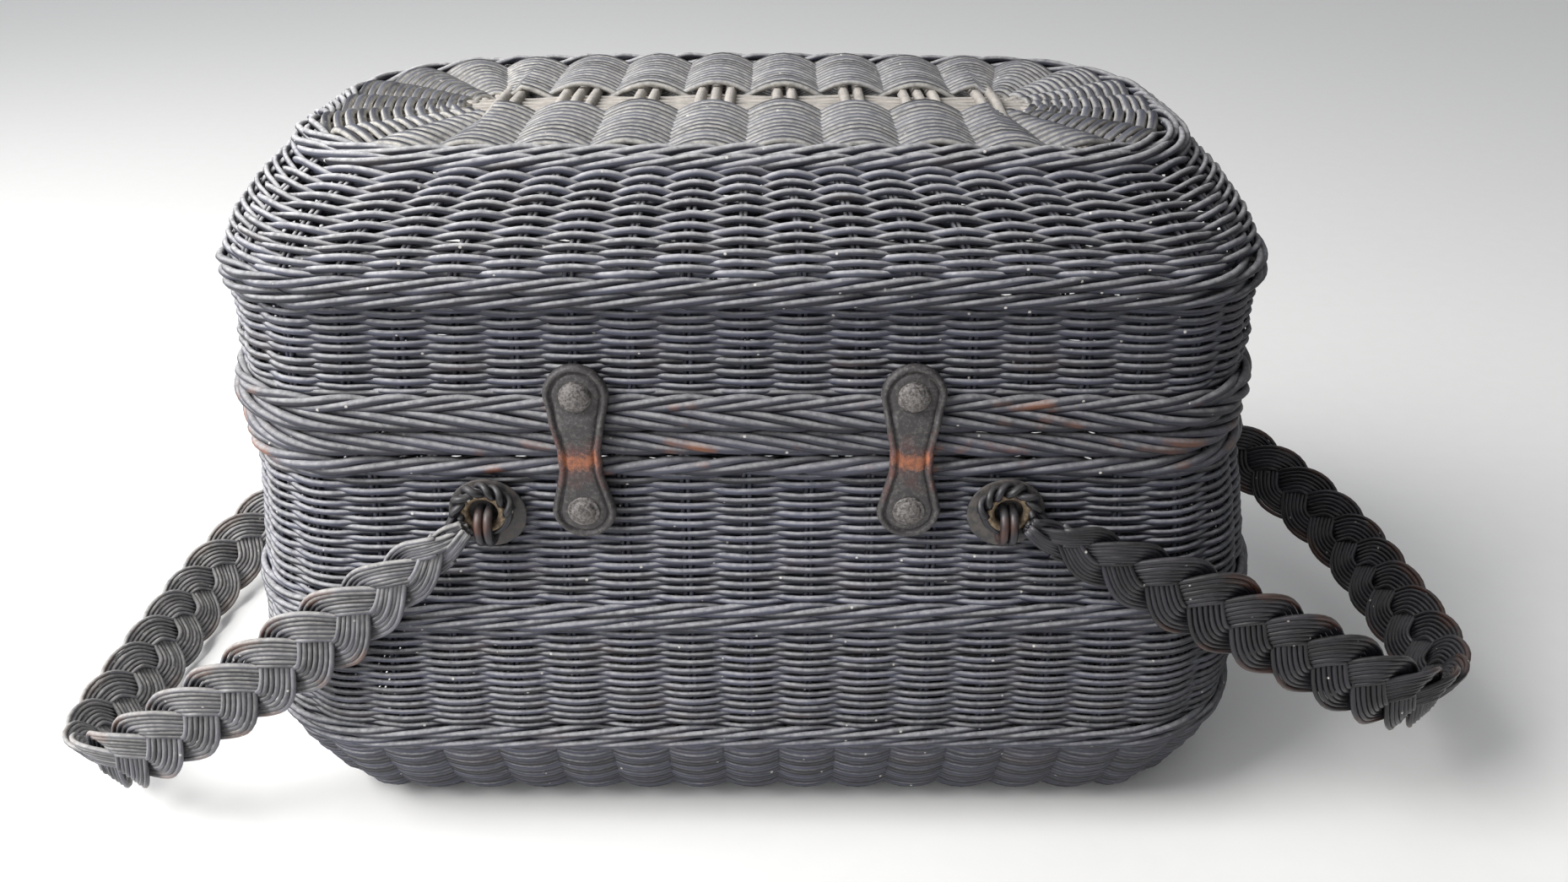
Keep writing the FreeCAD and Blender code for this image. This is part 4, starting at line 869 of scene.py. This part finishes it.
def hoopLine(reach, first, second):
    # from the front ring out, round two corners and back, lying flat and reaching along +X
    w, start = plait["offset"], plait["start"]
    q1, q2 = math.pi / 2 * first, math.pi / 2 * second
    runs = [reach - first - start, q1, 2 * w - first - second, q2, reach - second - start]
    knots = np.concatenate([[0], np.cumsum(runs)])
    centres = np.array([[start, first - w], [reach - first, first - w], [reach - first, first - w],
                        [reach - second, w - second], [reach - second, w - second], [start, w - second]])
    angles = [-90, -90, 0, 0, 90, 90]
    radii = [first, first, first, second, second, second]

    def at(s):
        angle = np.radians(np.interp(s, knots, angles))
        r = np.interp(s, knots, radii)
        cx, cy = np.interp(s, knots, centres[:, 0]), np.interp(s, knots, centres[:, 1])
        out = np.column_stack([np.cos(angle), np.sin(angle)])
        over = np.where(s < 0, s, 0) - np.where(s > knots[-1], s - knots[-1], 0)
        spot = np.column_stack([cx, cy]) + out * r[:, None]
        spot[:, 0] += over
        return spot, out
    return at, knots[-1]


def placed(points, hoop):
    # the level drawing turned to its own end of the basket and let down to where it hangs
    fall = math.radians(hoop["fall"])
    x, y, z = points[:, 0], points[:, 1], points[:, 2]
    far, low = x * math.cos(fall) + z * math.sin(fall), z * math.cos(fall) - x * math.sin(fall)
    return np.column_stack([hoop["side"] * (fitting["x"] + far), y, fitting["z"] + low])


for label, hoop in hoops.items():
    at, length = hoopLine(hoop["reach"], hoop["first"], hoop["second"])
    fall = math.radians(hoop["fall"])
    rods = []
    cycle = length / round(length / plait["cycle"])
    for ply in range(3):
        for cane in range(plait["canes"]):
            shift = (cane - (plait["canes"] - 1) / 2) * plait["spacing"]
            outerCane = abs(cane - (plait["canes"] - 1) / 2) > 2.5
            begin = 0.004 + 0.004 * rng.random() if outerCane else -0.008
            s = np.arange(begin, length - begin, plait["step"])
            near = np.minimum(s, length - s)
            draw = np.interp(near, [-0.006, 0.016, plait["taper"]], [0.18, 0.55, 1.0])
            phase = 2 * math.pi * s / cycle + 2 * math.pi * ply / 3
            reachNow = plait["half"] * draw
            # each ply lingers at the edge, then dives across
            eased = np.tanh(plait["ease"] * np.sin(phase)) / math.tanh(plait["ease"])
            slope = reachNow * 2 * math.pi / cycle * np.cos(phase) * plait["ease"] / math.tanh(plait["ease"])
            slope = slope * (1 - np.tanh(plait["ease"] * np.sin(phase)) ** 2)
            size = np.hypot(1, slope)
            pack = np.interp(near, [-0.006, 0.016, plait["taper"]], [0.34, 0.62, 1.0])
            lateral = reachNow * eased + shift * pack / size
            advance = -shift * pack * slope / size
            depth = plait["depth"] * np.sin(2 * phase) + wobble(s / length, (15, 31), 0.0003)
            spot, out = at(s + advance)
            flat = spot + out * depth[:, None]
            along = np.clip(flat[:, 0] / hoop["reach"], 0, 1)
            # each arm sags, most about two fifths of the way out from its ring
            bow = np.where(flat[:, 1] < 0, hoop["bow"][0], hoop["bow"][1]) * np.sin(math.pi * along ** 0.75) ** 2
            points = placed(np.column_stack([flat, lateral + bow]), hoop)
            up = np.column_stack([hoop["side"] * (np.zeros(len(s)) + math.sin(fall)), np.zeros(len(s)),
                                  np.full(len(s), math.cos(fall))])
            rub = 0.35 + 0.95 * (np.abs(lateral) / (plait["half"] + 7 * mm)) ** 2
            rods.append(dict(path=points, radius=plait["cane"] * (1 + rng.normal(0, 0.04)), up=up,
                             tone=rng.random() * 0.9, rub=rub))
    # painted light: the left plait gets the paler, lit copy of the cane
    cane = wicker["polishedCaneHandle" if label == "right" else "paintedLightCaneHandle"]
    braid = rodBundle(label + "Plait", rods, cane)
    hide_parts(label + "_handle_braid")
    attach(braid, label + "_handle")

    wraps, rings = [], []
    for front in (-1, 1):
        # strands come off the neck, go round the ring and back into the neck
        sweep = np.linspace(0, 2 * math.pi, 44)
        for k in range(wrapping["strands"]):
            turn = 2 * math.pi * k / wrapping["strands"]
            twist = turn + 1.92 * np.sin(sweep / 2)
            r = wrapping["round"] + wrapping["swell"] * np.cos(twist)
            y = -0.9 * mm + 1.2 * mm * np.sin(twist)
            tail = np.maximum(np.cos(sweep), 0) ** 3
            x = r * np.cos(sweep) + tail * wrapping["tail"]
            z = r * np.sin(sweep) * (1 - 0.45 * tail) + 0.8 * mm * math.sin(turn) * tail
            y = front * (fitting["plane"] + tail * 4.0 * mm + y)
            wraps.append(dict(path=placed(np.column_stack([x, y, z]), hoop), radius=wrapping["strandRod"],
                              up=(0, 1, 0), tone=0.6 * rng.random(), rub=0.4))
        sweep = np.linspace(wrapping["lapFrom"], wrapping["lapTo"], 120)
        for k in range(wrapping["laps"]):
            coilTurn = 5.6 * sweep + math.pi * k + 0.35 * np.sin(2.3 * sweep + k)
            r = wrapping["lapRound"] + wrapping["lapSwell"] * np.cos(coilTurn)
            y = front * (fitting["plane"] + 1.0 * mm + 2.0 * mm * np.sin(coilTurn))
            lap = placed(np.column_stack([r * np.cos(sweep), y, r * np.sin(sweep)]), hoop)
            wraps.append(dict(path=lap, radius=wrapping["lapRod"], up=(0, 1, 0), tone=0.4 * rng.random(),
                              rub=0.5))
        coil = np.linspace(0, 2 * math.pi, 49)[:-1]
        ring = np.column_stack([fitting["ring"] * np.cos(coil), np.full(48, front * fitting["plane"]),
                                fitting["ring"] * np.sin(coil)])
        rings.append(dict(path=placed(ring, hoop), radius=fitting["wire"], closed=True, up=(0, 1, 0), tone=0.5))
    wrap = rodBundle(label + "NeckWraps", wraps, wicker["polishedCaneHandle"], sides=8)
    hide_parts(label + "_handle_wraps")
    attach(wrap, label + "_handle")
    ringPiece = rodBundle(label + "Rings", rings, ringBrass, sides=14)
    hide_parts(label + "_handle_rings")
    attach(ringPiece, label + "_handle")


print("studio")

studio = dict(halfFloor=24.0, floorDrop=0.2 * mm, floor="#f2f1ee", floorPale="#f6f5f2", sky="#f4f6fa",
              skyPower=0.9, shade=0.08, keyPower=50, keyPlace=(-1.3, -0.6, 1.5), keySize=1.0, sidePower=4.5,
              sidePlace=(-1.35, -1.25, 0.75), sideSize=0.9)
view = dict(lens=27.13, filmWidth=36, place=(0.0148, -0.512, 0.426), tilt=61)

floorMesh = bpy.data.meshes.new("paleFloor")
corners = [(x * studio["halfFloor"], y * studio["halfFloor"], -studio["floorDrop"])
           for x, y in ((-1, -1), (1, -1), (1, 1), (-1, 1))]
floorMesh.from_pydata(corners, [], [(0, 1, 2, 3)])
floor = bpy.data.objects.new("paleFloor", floorMesh)
bpy.context.scene.collection.objects.link(floor)
# painted board, rolled matt: nearly even, with faint clouds of 17 mm
floorFinish, tree = newMaterial("paleStudioFloor")
spot = addNode(tree, "TexNoise", {"Scale": 60, "Detail": 4},
               {"Vector": addNode(tree, "TexCoord").outputs["Object"]})
tint = addNode(tree, "Mix",
               {"data_type": "RGBA", 6: hexColor(studio["floor"]), 7: hexColor(studio["floorPale"])},
               {0: spot.outputs[0]})
plain = addNode(tree, "BsdfPrincipled", {"Roughness": 0.55}, {"Base Color": tint.outputs[2]})
addNode(tree, "OutputMaterial", links={"Surface": plain.outputs[0]})
floorMesh.materials.append(floorFinish)

world = bpy.data.worlds.new("studioSky")
bpy.context.scene.world = world
world.use_nodes = True
world.node_tree.nodes.clear()
# the room is bright on the left and dim on the right
across = addNode(world.node_tree, "SeparateXYZ",
                 links={0: addNode(world.node_tree, "TexCoord").outputs["Generated"]})
dim = addNode(world.node_tree, "MapRange", {"From Min": -0.6, "From Max": 0.75, "To Min": studio["skyPower"],
                                            "To Max": studio["shade"]}, {0: across.outputs[0]})
sky = addNode(world.node_tree, "Background", {"Color": hexColor(studio["sky"])}, {"Strength": dim.outputs[0]})
addNode(world.node_tree, "OutputWorld", links={"Surface": sky.outputs[0]})


def softLight(name, place, target, size, power):
    data = bpy.data.lights.new(name, "AREA")
    data.size, data.energy = size, power
    lamp = bpy.data.objects.new(name, data)
    lamp.location = place
    aim = Vector(target) - Vector(place)
    lamp.rotation_euler = aim.to_track_quat("-Z", "Y").to_euler()
    bpy.context.scene.collection.objects.link(lamp)


softLight("keyWindow", studio["keyPlace"], (-0.03, 0, 0.15), studio["keySize"], studio["keyPower"])
softLight("lowWindow", studio["sidePlace"], (-0.12, 0, 0.12), studio["sideSize"], studio["sidePower"])

bpy.context.scene.view_settings.view_transform = "Standard"
camera = bpy.data.objects.new("viewCamera", bpy.data.cameras.new("viewCamera"))
camera.data.lens = view["lens"]
camera.data.sensor_width = view["filmWidth"]
camera.data.clip_start = 0.01
camera.location = view["place"]
camera.rotation_euler = (math.radians(view["tilt"]), 0, 0)
bpy.context.scene.collection.objects.link(camera)
bpy.context.scene.camera = camera
